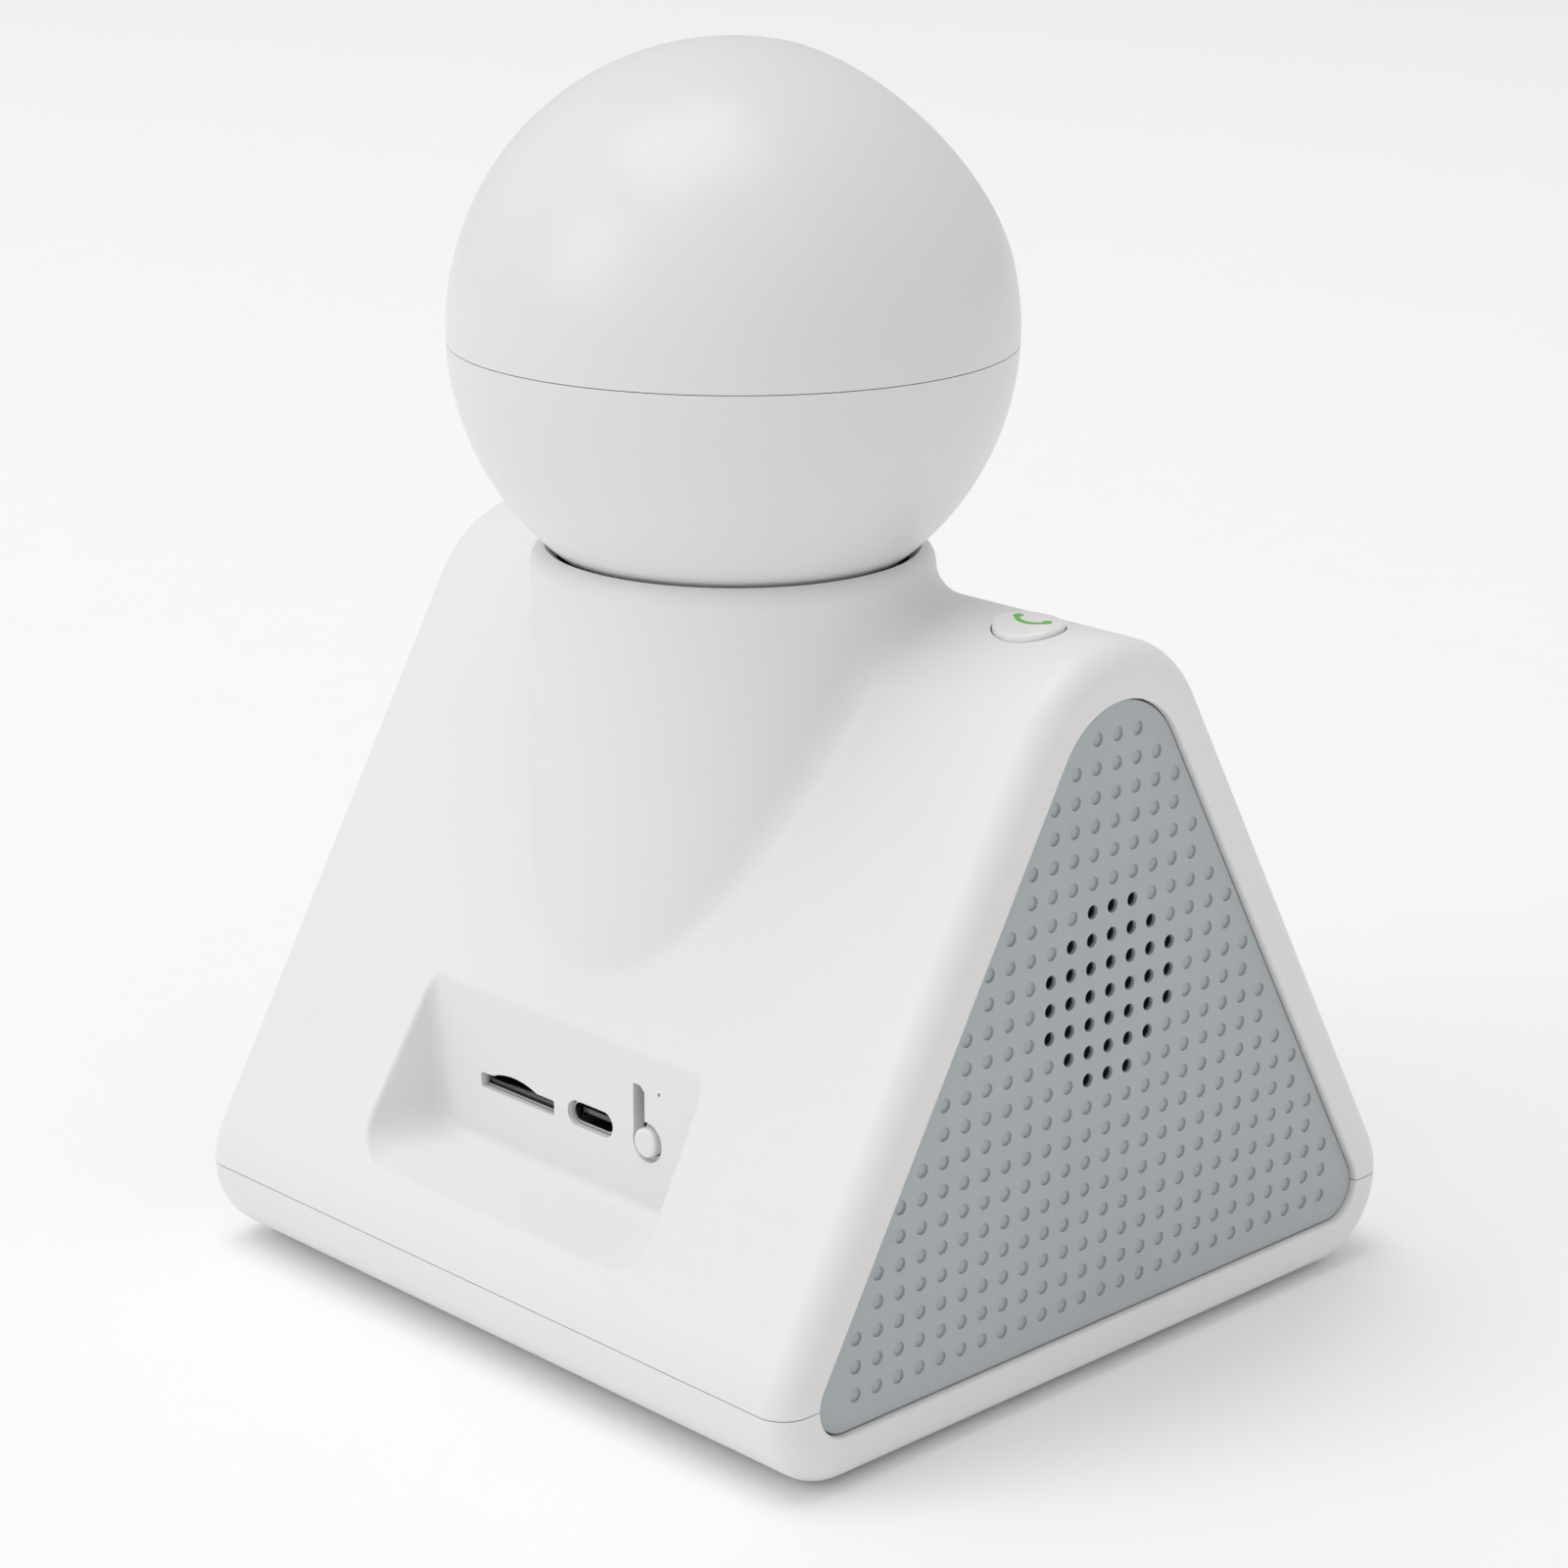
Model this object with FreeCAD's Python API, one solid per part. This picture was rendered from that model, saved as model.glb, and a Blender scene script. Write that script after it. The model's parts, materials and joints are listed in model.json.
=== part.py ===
"""Desk video-call speaker: a wedge body with side grilles and a motorised ball camera on top.

Frame: millimetres, +Z up, the display faces -Y, the ports face +Y, the origin lies under the
middle of the body on the plane that the rubber feet stand on.
"""
import FreeCAD
import Part
import math
import os
from FreeCAD import Matrix, Placement, Rotation, Vector

# ---- wedge body ---------------------------------------------------------------------------
BODY_WIDTH = 123.6
BODY_HALF_DEPTH = 71.2        # to the sharp corner that the toe rounds replace
SLOPE = 60.0                  # degrees from horizontal, front and back alike
RIDGE_RADIUS = 19.0
TOE_RADIUS = 12.2
END_ROUND = 4.36              # round between the end faces and the slopes
WALL = 2.4
PARTING_Z = 12.3
PARTING_GAP = 0.15
LIP_HEIGHT = 2.2
LIP_THICKNESS = 1.2
LIP_START_Z = 7.0
LIP_ROOT = 0.3                # how far the lip's root sinks into the cover's wall
FOOT_RADIUS = 6.0
FOOT_THICKNESS = 2.0
FOOT_PROUD = 0.8
FOOT_INSET = 12.0             # from a cover screw toward the middle, along X
FOOT_STEP = 2.0               # from a cover screw toward the middle, along Y

# ---- side grilles -------------------------------------------------------------------------
GRILLE_FRAME = 7.0            # width of the white border around each grille
GRILLE_RECESS = 1.1
GRILLE_THICKNESS = 2.0
GRILLE_GAP = 0.3
GRILLE_TOP_EXTRA = 0.7        # added to the top round of the grille and its frame
GRILLE_RIM_ROUND = 0.5
LEDGE_DEPTH = 3.4
LEDGE_THICKNESS = 1.8
RETURN_WALL = 1.6
HOLE_PITCH = 4.0
HOLE_RADIUS = 1.0
DIMPLE_DEPTH = 0.35
HOLE_CENTRE_Z = 55.84
HOLE_EDGE_MARGIN = 1.35       # least distance from a hole centre to the grille's edge
OPEN_RADIUS = 3.2             # holes within this many pitches of the centre go right through

# ---- ball head and its collar -------------------------------------------------------------
HEAD_Y = 12.6
HEAD_RADIUS = 39.35
HEAD_WALL = 2.0
HEAD_SEAM_DROP = 1.4
HEAD_SEAM_GAP = 0.12
LENS_TILT = 34.0              # degrees that the lens looks up when the seam is level
FACE_DEPTH = 11.05            # of the flat lens face below the ball's surface
FACE_WALL = 2.4
FACE_EDGE_ROUND = 1.6
COLLAR_RADIUS = 28.3
COLLAR_WALL = 3.7
COLLAR_RISE = 5.0             # above the ridge
COLLAR_LIP = 1.9              # width of the rim outside the ball's seat
COLLAR_RIM_ROUND = 2.6
COLLAR_ROOT_DEPTH = 7.5       # how far the collar reaches below its lowest crossing of the slope
COLLAR_BLEND = 5.0
SEAT_GAP = 0.6
DECK_DROP = 11.55             # from the bottom of the ball to the deck under the turntable
DECK_THICKNESS = 2.4

# ---- port recess --------------------------------------------------------------------------
PORT_TOP_Z = 46.07            # where the recess's back wall meets the slope
PORT_HALF_WIDTH = 28.4
PORT_FLOOR_Z = 22.7
PORT_CORNER = 5.5
PORT_DRAFT = 0.11             # how far the sides open per millimetre outward
PORT_INNER_ROUND = 1.6        # between the recess's back wall and its sides
PORT_RIM_ROUND = 0.8          # where the recess meets the slope
PORT_SHELL = 2.0
USB_X = -5.1
USB_Z = 33.2
USB_WIDTH = 8.94
USB_HEIGHT = 3.26
USB_DEPTH = 7.3
USB_SHELL = 0.3
USB_CLEARANCE = 0.25
USB_SET_BACK = 0.9
CARD_X = 10.4
CARD_Z = 32.5
CARD_SLOT_WIDTH = 15.8
CARD_SLOT_HEIGHT = 2.26
CARD_SLOT_CORNER = 0.35
CARD_THUMB_SHIFT = 0.7        # of the thumb relief from the slot's middle
CARD_THUMB_HALF = 4.9
CARD_THUMB_RISE = 0.95
CARD_SOCKET_WIDTH = 15.2
CARD_SOCKET_HEIGHT = 1.8
CARD_SOCKET_DEPTH = 15.0
CARD_SOCKET_WALL = 0.25
CARD_SET_BACK = 0.9
RESET_X = -16.85
RESET_Z = 33.2
RESET_RADIUS = 2.1
RESET_PROUD = 0.7
RESET_CLEARANCE = 0.2
RESET_FLANGE = 0.8
RESET_FLANGE_THICKNESS = 1.2
RESET_POCKET_RADIUS = 2.9
RESET_POCKET_DEPTH = 1.2
VENT_X = -18.75
VENT_Z = 31.7
VENT_RADIUS = 0.35
GROOVE_X = -15.2
GROOVE_WIDTH = 2.26
GROOVE_TOP_Z = 41.15
GROOVE_BEVEL = 0.85           # off the groove's upper corner on the button's side
MIC_X = -19.25
MIC_Z = 40.8
MIC_HOLE_RADIUS = 0.3
MIC_RADIUS = 2.0
MIC_THICKNESS = 1.4

# ---- call button --------------------------------------------------------------------------
CALL_END_DISTANCE = 15.3      # from the body's end
CALL_Y = 2.4
CALL_HALF_X = 5.3
CALL_HALF_Y = 4.4
CALL_PROUD = 0.85
CALL_ROUND = 0.6
CALL_CLEARANCE = 0.2
CALL_FLANGE_RIM = 1.2
CALL_FLANGE_THICKNESS = 1.2
CALL_FLANGE_DROP = 2.6        # from the ridge inner surface down to the flange top
CALL_SWITCH_GAP = 1.0
SWITCH_WIDTH = 6.0
SWITCH_HEIGHT = 2.2
PLUNGER_HEIGHT = 1.2
PLUNGER_RADIUS = 1.5
CALL_BOARD_THICKNESS = 1.2
ICON_DEPTH = 0.3
ICON_RADIUS = 3.5
ICON_WIDTH = 0.7
ICON_HALF_SPAN = 2.6
ICON_PAD_RADIUS = 0.72
ICON_SHIFT_Y = 0.75           # of the arc's crown from the button's middle
CALL_BOARD_HALF_X = 9.3
CALL_BOARD_HALF_Y = 4.5
CALL_POST_X = 8.2
CALL_POST_RADIUS = 1.1

# ---- display ------------------------------------------------------------------------------
WINDOW_WIDTH = 78.0
WINDOW_HEIGHT = 60.0
WINDOW_THICKNESS = 1.3
WINDOW_CORNER = 5.0
WINDOW_Z = 50.0
WINDOW_CLEARANCE = 0.15
DISPLAY_WIDTH = 69.2
DISPLAY_HEIGHT = 50.0
DISPLAY_THICKNESS = 3.2
DISPLAY_CLEARANCE = 0.3
STRAP_WIDTH = 8.0
STRAP_THICKNESS = 1.0

# ---- speaker ------------------------------------------------------------------------------
SPEAKER_RADIUS = 18.0
SPEAKER_DEPTH = 15.0
SPEAKER_POST_LENGTH = 3.2
SPEAKER_POST_RADIUS = 2.6
SPEAKER_EAR_REACH = 20.5
SPEAKER_PLATE = 1.2
MAGNET_RADIUS = 11.0
MAGNET_THICKNESS = 6.0
CONE_RADIUS = 15.5

# ---- electronics --------------------------------------------------------------------------
BOARD_THICKNESS = 1.6
BOARD_END_GAP = 19.8          # from the body's end to the board
BOARD_DEPTH = 70.5
BOARD_POST_INSET = 5.0
BOARD_POST_SETBACK = 6.5
BOARD_POST_RADIUS = 3.0

# ---- fasteners and fits -------------------------------------------------------------------
SCREW_RADIUS = 1.3
SCREW_HEAD_RADIUS = 2.4
SCREW_HEAD_HEIGHT = 1.6
SCREW_FIT = 0.05
COVER_SCREW_END_GAP = 11.8
COVER_SCREW_INSET = 8.0       # inside the start of the toe round
COVER_SCREW_LENGTH = 12.0
COVER_SINK = 0.9              # depth of a cover screw's head below the underside
COVER_BOSS_RADIUS = 4.2
COVER_BOSS_TOP = 5.9
BOSS_RADIUS = 3.2
SCREW_TIP_ROOM = 0.9
BOARD_SCREW_LENGTH = 9.0
SHAFT_FIT = 0.05
PRESS_FIT = 0.03
JOIN_GAP = 0.3

# ---- pan and tilt drives ------------------------------------------------------------------
MODULE = 0.8
GEAR_WIDTH = 3.6
PAN_TEETH = 30
TILT_TEETH = 26
PINION_TEETH = 12
PINION_HUB = 1.0
SPINDLE_RADIUS = 6.0
SPINDLE_BORE = 3.5
TURNTABLE_GAP = 1.2           # to the collar's bore
TURNTABLE_THICKNESS = 2.4
WASHER_RIM = 4.0
WASHER_THICKNESS = 0.7
RING_RIM = 2.6
RING_THICKNESS = 2.0
PAN_MOTOR_RADIUS = 10.0
PAN_MOTOR_LENGTH = 18.0
PAN_MOTOR_GAP = 0.7           # from the can to the retaining ring
MOTOR_EAR_X = 14.0
MOTOR_EAR_HALF = 3.0
MOTOR_EAR_THICKNESS = 1.2
MOTOR_SHAFT_RADIUS = 1.5
POST_HALF_X = 6.0
POST_HALF_Y = 4.0
POST_FOOT_RADIUS = 8.5
POST_FOOT_THICKNESS = 2.0
POST_TOP_RADIUS = 5.0
CABLE_BORE = 2.4
AXLE_RADIUS = 2.0
EAR_GAP = 1.2
EAR_THICKNESS = 2.2
EAR_HALF_HEIGHT = 5.0
TILT_MOTOR_RADIUS = 8.0
TILT_MOTOR_LENGTH = 12.5
TILT_MOTOR_ANGLE = -30.0      # from +Y toward -Z, seen from the tilt axle
TILT_UP = 15.0
TILT_DOWN = 25.0
SLOT_CLEARANCE = 0.9
SHIELD_GAP = 0.6
SHIELD_THICKNESS = 1.0
SHIELD_HALF_WIDTH = 9.5
SHIELD_TAB = 1.2
SHIELD_TAB_HEIGHT = 7.0
SHIELD_END = 50.0             # degrees from straight down, past the slot at full tilt

# ---- camera -------------------------------------------------------------------------------
LENS_WINDOW_RADIUS = 24.4
LENS_WINDOW_THICKNESS = 1.4
LENS_WINDOW_GAP = 0.12
FACE_OPENING_RADIUS = 21.8
BARREL_RADIUS = 7.0
BARREL_BORE = 5.2
LENS_RADIUS = 5.1
FRAME_SETBACK = 15.3          # from the lens face to the back of the chassis disc
FRAME_THICKNESS = 2.0
FRAME_RADIUS = 27.5
CAMERA_BOARD_RADIUS = 20.0
LED_COUNT = 8
LED_RING_RADIUS = 15.5
LED_RADIUS = 1.6
FACE_POST_RING = 24.3
FACE_POST_RADIUS = 2.1
HEAD_COLUMN_X = 20.0
HEAD_COLUMN_Y = 5.0
HEAD_COLUMN_RADIUS = 2.6

UP = Vector(0, 0, 1)
RIGHT = Vector(1, 0, 0)
BACK = Vector(0, 1, 0)
LENS_AXIS = Vector(0, -math.cos(math.radians(LENS_TILT)), math.sin(math.radians(LENS_TILT)))
TAN_SLOPE = math.tan(math.radians(SLOPE))
RIDGE_Z = BODY_HALF_DEPTH * TAN_SLOPE - RIDGE_RADIUS / math.cos(math.radians(SLOPE))
RIDGE_TOP = RIDGE_Z + RIDGE_RADIUS
TOE_Y = BODY_HALF_DEPTH - TOE_RADIUS / math.tan(math.radians(SLOPE / 2))
END_X = BODY_WIDTH / 2
COLLAR_TOP = RIDGE_TOP + COLLAR_RISE
COLLAR_BORE = COLLAR_RADIUS - COLLAR_WALL
COLLAR_ROOT_Z = (BODY_HALF_DEPTH - HEAD_Y - COLLAR_RADIUS) * TAN_SLOPE - COLLAR_ROOT_DEPTH
HEAD_Z = COLLAR_TOP + math.sqrt((HEAD_RADIUS + SEAT_GAP) ** 2 - (COLLAR_RADIUS - COLLAR_LIP) ** 2)
HEAD_CENTRE = Vector(0, HEAD_Y, HEAD_Z)
FACE_DISTANCE = HEAD_RADIUS - FACE_DEPTH
FRAME_DISTANCE = FACE_DISTANCE - FRAME_SETBACK
DECK_TOP = HEAD_Z - HEAD_RADIUS - DECK_DROP
PORT_WALL_Y = BODY_HALF_DEPTH - PORT_TOP_Z / TAN_SLOPE
COVER_SCREW_X = END_X - COVER_SCREW_END_GAP
COVER_SCREW_Y = TOE_Y - COVER_SCREW_INSET
FOOT_X = COVER_SCREW_X - FOOT_INSET
FOOT_Y = COVER_SCREW_Y - FOOT_STEP
CALL_X = CALL_END_DISTANCE - END_X
GRILLE_FACE_X = END_X - GRILLE_RECESS
GRILLE_BACK_X = GRILLE_FACE_X - GRILLE_THICKNESS
DECK_BOTTOM = DECK_TOP - DECK_THICKNESS
BOARD_TOP = USB_Z - USB_HEIGHT / 2
BOARD_HALF_WIDTH = END_X - BOARD_END_GAP
BOARD_EDGE_Y = PORT_WALL_Y - PORT_SHELL - RESET_FLANGE_THICKNESS - 3 * JOIN_GAP
BOARD_FRONT_Y = BOARD_EDGE_Y - BOARD_DEPTH
BOARD_POST_X = BOARD_HALF_WIDTH - BOARD_POST_INSET
RING_RADIUS = SPINDLE_RADIUS + RING_RIM
GEAR_BOTTOM = DECK_TOP + WASHER_THICKNESS + JOIN_GAP
TURNTABLE_BOTTOM = GEAR_BOTTOM + GEAR_WIDTH
TURNTABLE_TOP = TURNTABLE_BOTTOM + TURNTABLE_THICKNESS
PAN_CENTRES = MODULE * (PAN_TEETH + PINION_TEETH) / 2
TILT_CENTRES = MODULE * (TILT_TEETH + PINION_TEETH) / 2
PAN_SHAFT = Vector(0, HEAD_Y - PAN_CENTRES, 0)
PAN_MOTOR_OFFSET = PAN_MOTOR_RADIUS + RING_RADIUS + PAN_MOTOR_GAP - PAN_CENTRES
EAR_INNER_X = POST_HALF_X + EAR_GAP
EAR_OUTER_X = EAR_INNER_X + EAR_THICKNESS
TILT_GEAR_X = EAR_OUTER_X + JOIN_GAP


# ---- small shape helpers ------------------------------------------------------------------
def box(x_low, x_high, y_low, y_high, z_low, z_high):
    corner = Vector(x_low, y_low, z_low)
    return Part.makeBox(x_high - x_low, y_high - y_low, z_high - z_low, corner)


def rod(radius, length, base, direction=UP):
    return Part.makeCylinder(radius, length, base, direction)


def tube(outer, inner, length, base, direction=UP):
    return rod(outer, length, base, direction).cut(rod(inner, length, base, direction))


def joined(shapes):
    first = shapes[0]
    return first.fuse(shapes[1:]).removeSplitter() if len(shapes) > 1 else first


def mirrored_x(shape):
    return shape.mirror(Vector(0, 0, 0), RIGHT)


def rounded_plate(width, height, corner, thickness):
    """A plate centred on the local origin, its back on z = 0, with rounded corners."""
    plate = box(-width / 2, width / 2, -height / 2, height / 2, 0, thickness)
    uprights = [e for e in plate.Edges if abs(e.tangentAt(e.FirstParameter).z) > 0.9]
    return plate.makeFillet(corner, uprights)


def stadium(width, height, depth, centre):
    """A solid with a slot-shaped section in the XZ plane, running from centre along +Y."""
    radius = height / 2
    reach = width / 2 - radius
    middle = box(centre.x - reach, centre.x + reach, centre.y, centre.y + depth,
                 centre.z - radius, centre.z + radius)
    ends = [rod(radius, depth, centre + Vector(side * reach, 0, 0), BACK) for side in (-1, 1)]
    return joined([middle] + ends)


def screw(head_base, length, direction):
    """A pan-head screw: the head starts at head_base and the shank runs along direction."""
    head = rod(SCREW_HEAD_RADIUS, SCREW_HEAD_HEIGHT, head_base, direction)
    shank_base = head_base + direction * SCREW_HEAD_HEIGHT
    shank = rod(SCREW_RADIUS, length - SCREW_HEAD_HEIGHT, shank_base, direction)
    socket = rod(SCREW_HEAD_RADIUS / 2, SCREW_HEAD_HEIGHT / 2, head_base, direction)
    return head.fuse(shank).cut(socket)


def screw_hole(base, length, direction=UP):
    return rod(SCREW_RADIUS + SCREW_FIT, length, base, direction)


def gear(teeth, width, bore, phase, clearance=0.12):
    """A spur gear about the local Z axis with a tooth centred at phase degrees."""
    pressure = math.radians(20)
    pitch_radius = MODULE * teeth / 2
    base_radius = pitch_radius * math.cos(pressure)
    tip_radius = pitch_radius + 0.8 * MODULE
    root_radius = pitch_radius - 1.05 * MODULE
    half_tooth = (math.pi / 2 - clearance / MODULE) / teeth + math.tan(pressure) - pressure
    steps = 5
    flank = []
    for step in range(steps + 1):
        radius = root_radius + (tip_radius - root_radius) * step / steps
        roll = math.acos(min(1.0, base_radius / max(radius, base_radius)))
        flank.append((radius, half_tooth - (math.tan(roll) - roll)))
    points = []
    for tooth in range(teeth):
        middle = math.radians(phase) + 2 * math.pi * tooth / teeth
        rising = [(radius, middle - angle) for radius, angle in flank]
        falling = [(radius, middle + angle) for radius, angle in reversed(flank)]
        points += [Vector(r * math.cos(a), r * math.sin(a), 0) for r, a in rising + falling]
    outline = Part.Face(Part.makePolygon(points + [points[0]]))
    return outline.extrude(Vector(0, 0, width)).cut(rod(bore, width, Vector(0, 0, 0)))


# ---- the wedge and the frames on its faces ------------------------------------------------
def top_arc(inset, extra=0.0):
    """Radius and centre height of the round that joins the two slopes."""
    return RIDGE_RADIUS - inset + extra, RIDGE_Z - extra / math.cos(math.radians(SLOPE))


def wedge_face(inset, x, top_extra=0.0):
    """The rounded triangle of the body's section at x, moved inward by inset, its top round enlarged."""
    normal_y = math.sin(math.radians(SLOPE))
    normal_z = math.cos(math.radians(SLOPE))
    toe_round = TOE_RADIUS - inset
    ridge_round, ridge_z = top_arc(inset, top_extra)
    toe_z = TOE_RADIUS

    def at(y, z):
        return Vector(x, y, z)

    middle_turn = math.radians(SLOPE / 2)
    mid_y = math.cos(middle_turn)
    mid_z = -math.sin(middle_turn)
    floor_left = at(-TOE_Y, inset)
    floor_right = at(TOE_Y, inset)
    toe_right = at(TOE_Y + toe_round * normal_y, toe_z + toe_round * normal_z)
    toe_left = at(-TOE_Y - toe_round * normal_y, toe_z + toe_round * normal_z)
    ridge_right = at(ridge_round * normal_y, ridge_z + ridge_round * normal_z)
    ridge_left = at(-ridge_round * normal_y, ridge_z + ridge_round * normal_z)
    toe_right_mid = at(TOE_Y + toe_round * mid_y, toe_z + toe_round * mid_z)
    toe_left_mid = at(-TOE_Y - toe_round * mid_y, toe_z + toe_round * mid_z)
    edges = [
        Part.makeLine(floor_left, floor_right),
        Part.Arc(floor_right, toe_right_mid, toe_right).toShape(),
        Part.makeLine(toe_right, ridge_right),
        Part.Arc(ridge_right, at(0, ridge_z + ridge_round), ridge_left).toShape(),
        Part.makeLine(ridge_left, toe_left),
        Part.Arc(toe_left, toe_left_mid, floor_left).toShape(),
    ]
    return Part.Face(Part.Wire(edges))


def wedge(inset, x_low, x_high, top_extra=0.0):
    return wedge_face(inset, x_low, top_extra).extrude(Vector(x_high - x_low, 0, 0))


def slope_y(z, inset=0.0):
    """Half-depth of the flat slope at height z, moved inward by inset."""
    return BODY_HALF_DEPTH - inset / math.sin(math.radians(SLOPE)) - z / TAN_SLOPE


def on_display_slope(shape, out=0.0):
    """Moves a shape from a local frame (z outward) to the middle of the front slope."""
    origin = Vector(0, -slope_y(WINDOW_Z), WINDOW_Z)
    normal = Vector(0, -math.sin(math.radians(SLOPE)), math.cos(math.radians(SLOPE)))
    shape.Placement = Placement(origin + normal * out, Rotation(RIGHT, SLOPE)).multiply(shape.Placement)
    return shape


def on_lens_axis(shape, distance):
    """Moves a shape from a local frame (z toward the lens side) to a distance from the ball centre."""
    turn = Rotation(RIGHT, 90 - LENS_TILT)
    shape.Placement = Placement(HEAD_CENTRE + LENS_AXIS * distance, turn).multiply(shape.Placement)
    return shape


# ---- port recess --------------------------------------------------------------------------
def port_section(y, grow):
    """The recess's section at depth y: rounded below, open far above the slope."""
    out = (y - PORT_WALL_Y) * PORT_DRAFT
    half = PORT_HALF_WIDTH + out + grow
    floor = PORT_FLOOR_Z - out - grow
    corner = PORT_CORNER + grow
    top = PORT_FLOOR_Z + BODY_HALF_DEPTH
    diagonal = corner * (1 - math.sqrt(0.5))

    def at(x, z):
        return Vector(x, y, z)

    edges = [
        Part.makeLine(at(-half + corner, floor), at(half - corner, floor)),
        Part.Arc(at(half - corner, floor), at(half - diagonal, floor + diagonal),
                 at(half, floor + corner)).toShape(),
        Part.makeLine(at(half, floor + corner), at(half, top)),
        Part.makeLine(at(half, top), at(-half, top)),
        Part.makeLine(at(-half, top), at(-half, floor + corner)),
        Part.Arc(at(-half, floor + corner), at(-half + diagonal, floor + diagonal),
                 at(-half + corner, floor)).toShape(),
    ]
    return Part.Wire(edges)


def port_block(grow, wall_shift):
    inner = port_section(PORT_WALL_Y - wall_shift, grow)
    outer = port_section(BODY_HALF_DEPTH + TOE_RADIUS, grow)
    return Part.makeLoft([inner, outer], True, True)


def port_recess():
    """The recess as cut from the outside, its back wall blended into its sides."""
    block = port_block(0, 0)
    inner = [e for e in block.Edges if e.BoundBox.YMax < PORT_WALL_Y + 0.01 and e.BoundBox.ZMin < PORT_TOP_Z]
    return block.makeFillet(PORT_INNER_ROUND, inner)


def is_port_rim(edge):
    """True for the edges where the recess's sides meet the slope."""
    span = edge.LastParameter - edge.FirstParameter
    points = [edge.valueAt(edge.FirstParameter + span * step / 4) for step in range(5)]
    on_slope = all(abs(p.y - slope_y(p.z)) < 0.01 for p in points)
    reach = PORT_HALF_WIDTH + PORT_DRAFT * BODY_HALF_DEPTH
    beside = all(abs(p.x) < reach and p.z < PORT_TOP_Z + 0.01 for p in points)
    return on_slope and beside and min(p.z for p in points) > TOE_RADIUS * 1.2


def thumb_relief(grow, y, depth):
    """The shallow arc above the card slot that lets a fingertip press the card."""
    radius = (CARD_THUMB_HALF ** 2 + CARD_THUMB_RISE ** 2) / (2 * CARD_THUMB_RISE)
    slot_top = CARD_Z + CARD_SLOT_HEIGHT / 2
    centre = Vector(CARD_X + CARD_THUMB_SHIFT, y, slot_top + CARD_THUMB_RISE - radius)
    above = box(-BODY_WIDTH, BODY_WIDTH, y, y + depth, CARD_Z, CARD_Z + radius)
    return rod(radius + grow, depth, centre, BACK).common(above)


def finger_groove(y, depth):
    """The groove above the reset button, one upper corner cut off."""
    low_x = GROOVE_X - GROOVE_WIDTH / 2
    high_x = GROOVE_X + GROOVE_WIDTH / 2
    corners = [(low_x, RESET_Z), (high_x, RESET_Z), (high_x, GROOVE_TOP_Z),
               (low_x + GROOVE_BEVEL, GROOVE_TOP_Z), (low_x, GROOVE_TOP_Z - GROOVE_BEVEL)]
    points = [Vector(x, y, z) for x, z in corners]
    return Part.Face(Part.makePolygon(points + [points[0]])).extrude(BACK * depth)


def card_slot(y, depth):
    plate = rounded_plate(CARD_SLOT_WIDTH, CARD_SLOT_HEIGHT, CARD_SLOT_CORNER, depth)
    plate.Placement = Placement(Vector(CARD_X, y + depth, CARD_Z), Rotation(RIGHT, 90))
    return plate


def port_openings():
    """Everything that is cut through, or into, the back wall of the recess."""
    inside = PORT_WALL_Y - PORT_SHELL - 1.0
    through = PORT_SHELL + 2.0
    usb = stadium(USB_WIDTH + 2 * USB_CLEARANCE, USB_HEIGHT + 2 * USB_CLEARANCE, through,
                  Vector(USB_X, inside, USB_Z))
    reset = rod(RESET_RADIUS + RESET_CLEARANCE, through, Vector(RESET_X, inside, RESET_Z), BACK)
    pocket_base = Vector(RESET_X, PORT_WALL_Y - RESET_POCKET_DEPTH, RESET_Z)
    pocket = rod(RESET_POCKET_RADIUS, RESET_POCKET_DEPTH + 1.0, pocket_base, BACK)
    vent = rod(VENT_RADIUS, through, Vector(VENT_X, inside, VENT_Z), BACK)
    microphone = rod(MIC_HOLE_RADIUS, through, Vector(MIC_X, inside, MIC_Z), BACK)
    card = card_slot(inside, through)
    thumb = thumb_relief(0, inside, through)
    return joined([usb, card, thumb, reset, pocket, finger_groove(inside, through), vent, microphone])


# ---- housing ------------------------------------------------------------------------------
def body_with_collar():
    """The outer form: the wedge, the collar that rises from it, and the blend between them."""
    body = wedge(0, -END_X, END_X)
    end_edges = [e for e in body.Edges if abs(abs(e.CenterOfMass.x) - END_X) < 0.01]
    body = body.makeFillet(END_ROUND, end_edges)
    collar = rod(COLLAR_RADIUS, COLLAR_TOP - COLLAR_ROOT_Z, Vector(0, HEAD_Y, COLLAR_ROOT_Z))
    collar.rotate(Vector(0, HEAD_Y, 0), UP, 90)
    rim = [e for e in collar.Edges if abs(e.BoundBox.ZMin - COLLAR_TOP) < 0.01]
    collar = collar.makeFillet(COLLAR_RIM_ROUND, rim)
    whole = body.fuse(collar)
    root_edges = [e for e in whole.Edges if is_collar_root(e)]
    return whole.makeFillet(COLLAR_BLEND, root_edges)


def is_collar_root(edge):
    """True for the edges where the collar's cylinder meets the slopes and the ridge."""
    span = edge.LastParameter - edge.FirstParameter
    points = [edge.valueAt(edge.FirstParameter + span * step / 4) for step in range(5)]
    on_collar = all(abs(math.hypot(p.x, p.y - HEAD_Y) - COLLAR_RADIUS) < 0.01 for p in points)
    upright = math.hypot(points[2].x - points[0].x, points[2].y - points[0].y) < 0.01
    below_rim = max(p.z for p in points) < COLLAR_TOP - COLLAR_RIM_ROUND - 1.0
    return on_collar and below_rim and not upright


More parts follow.
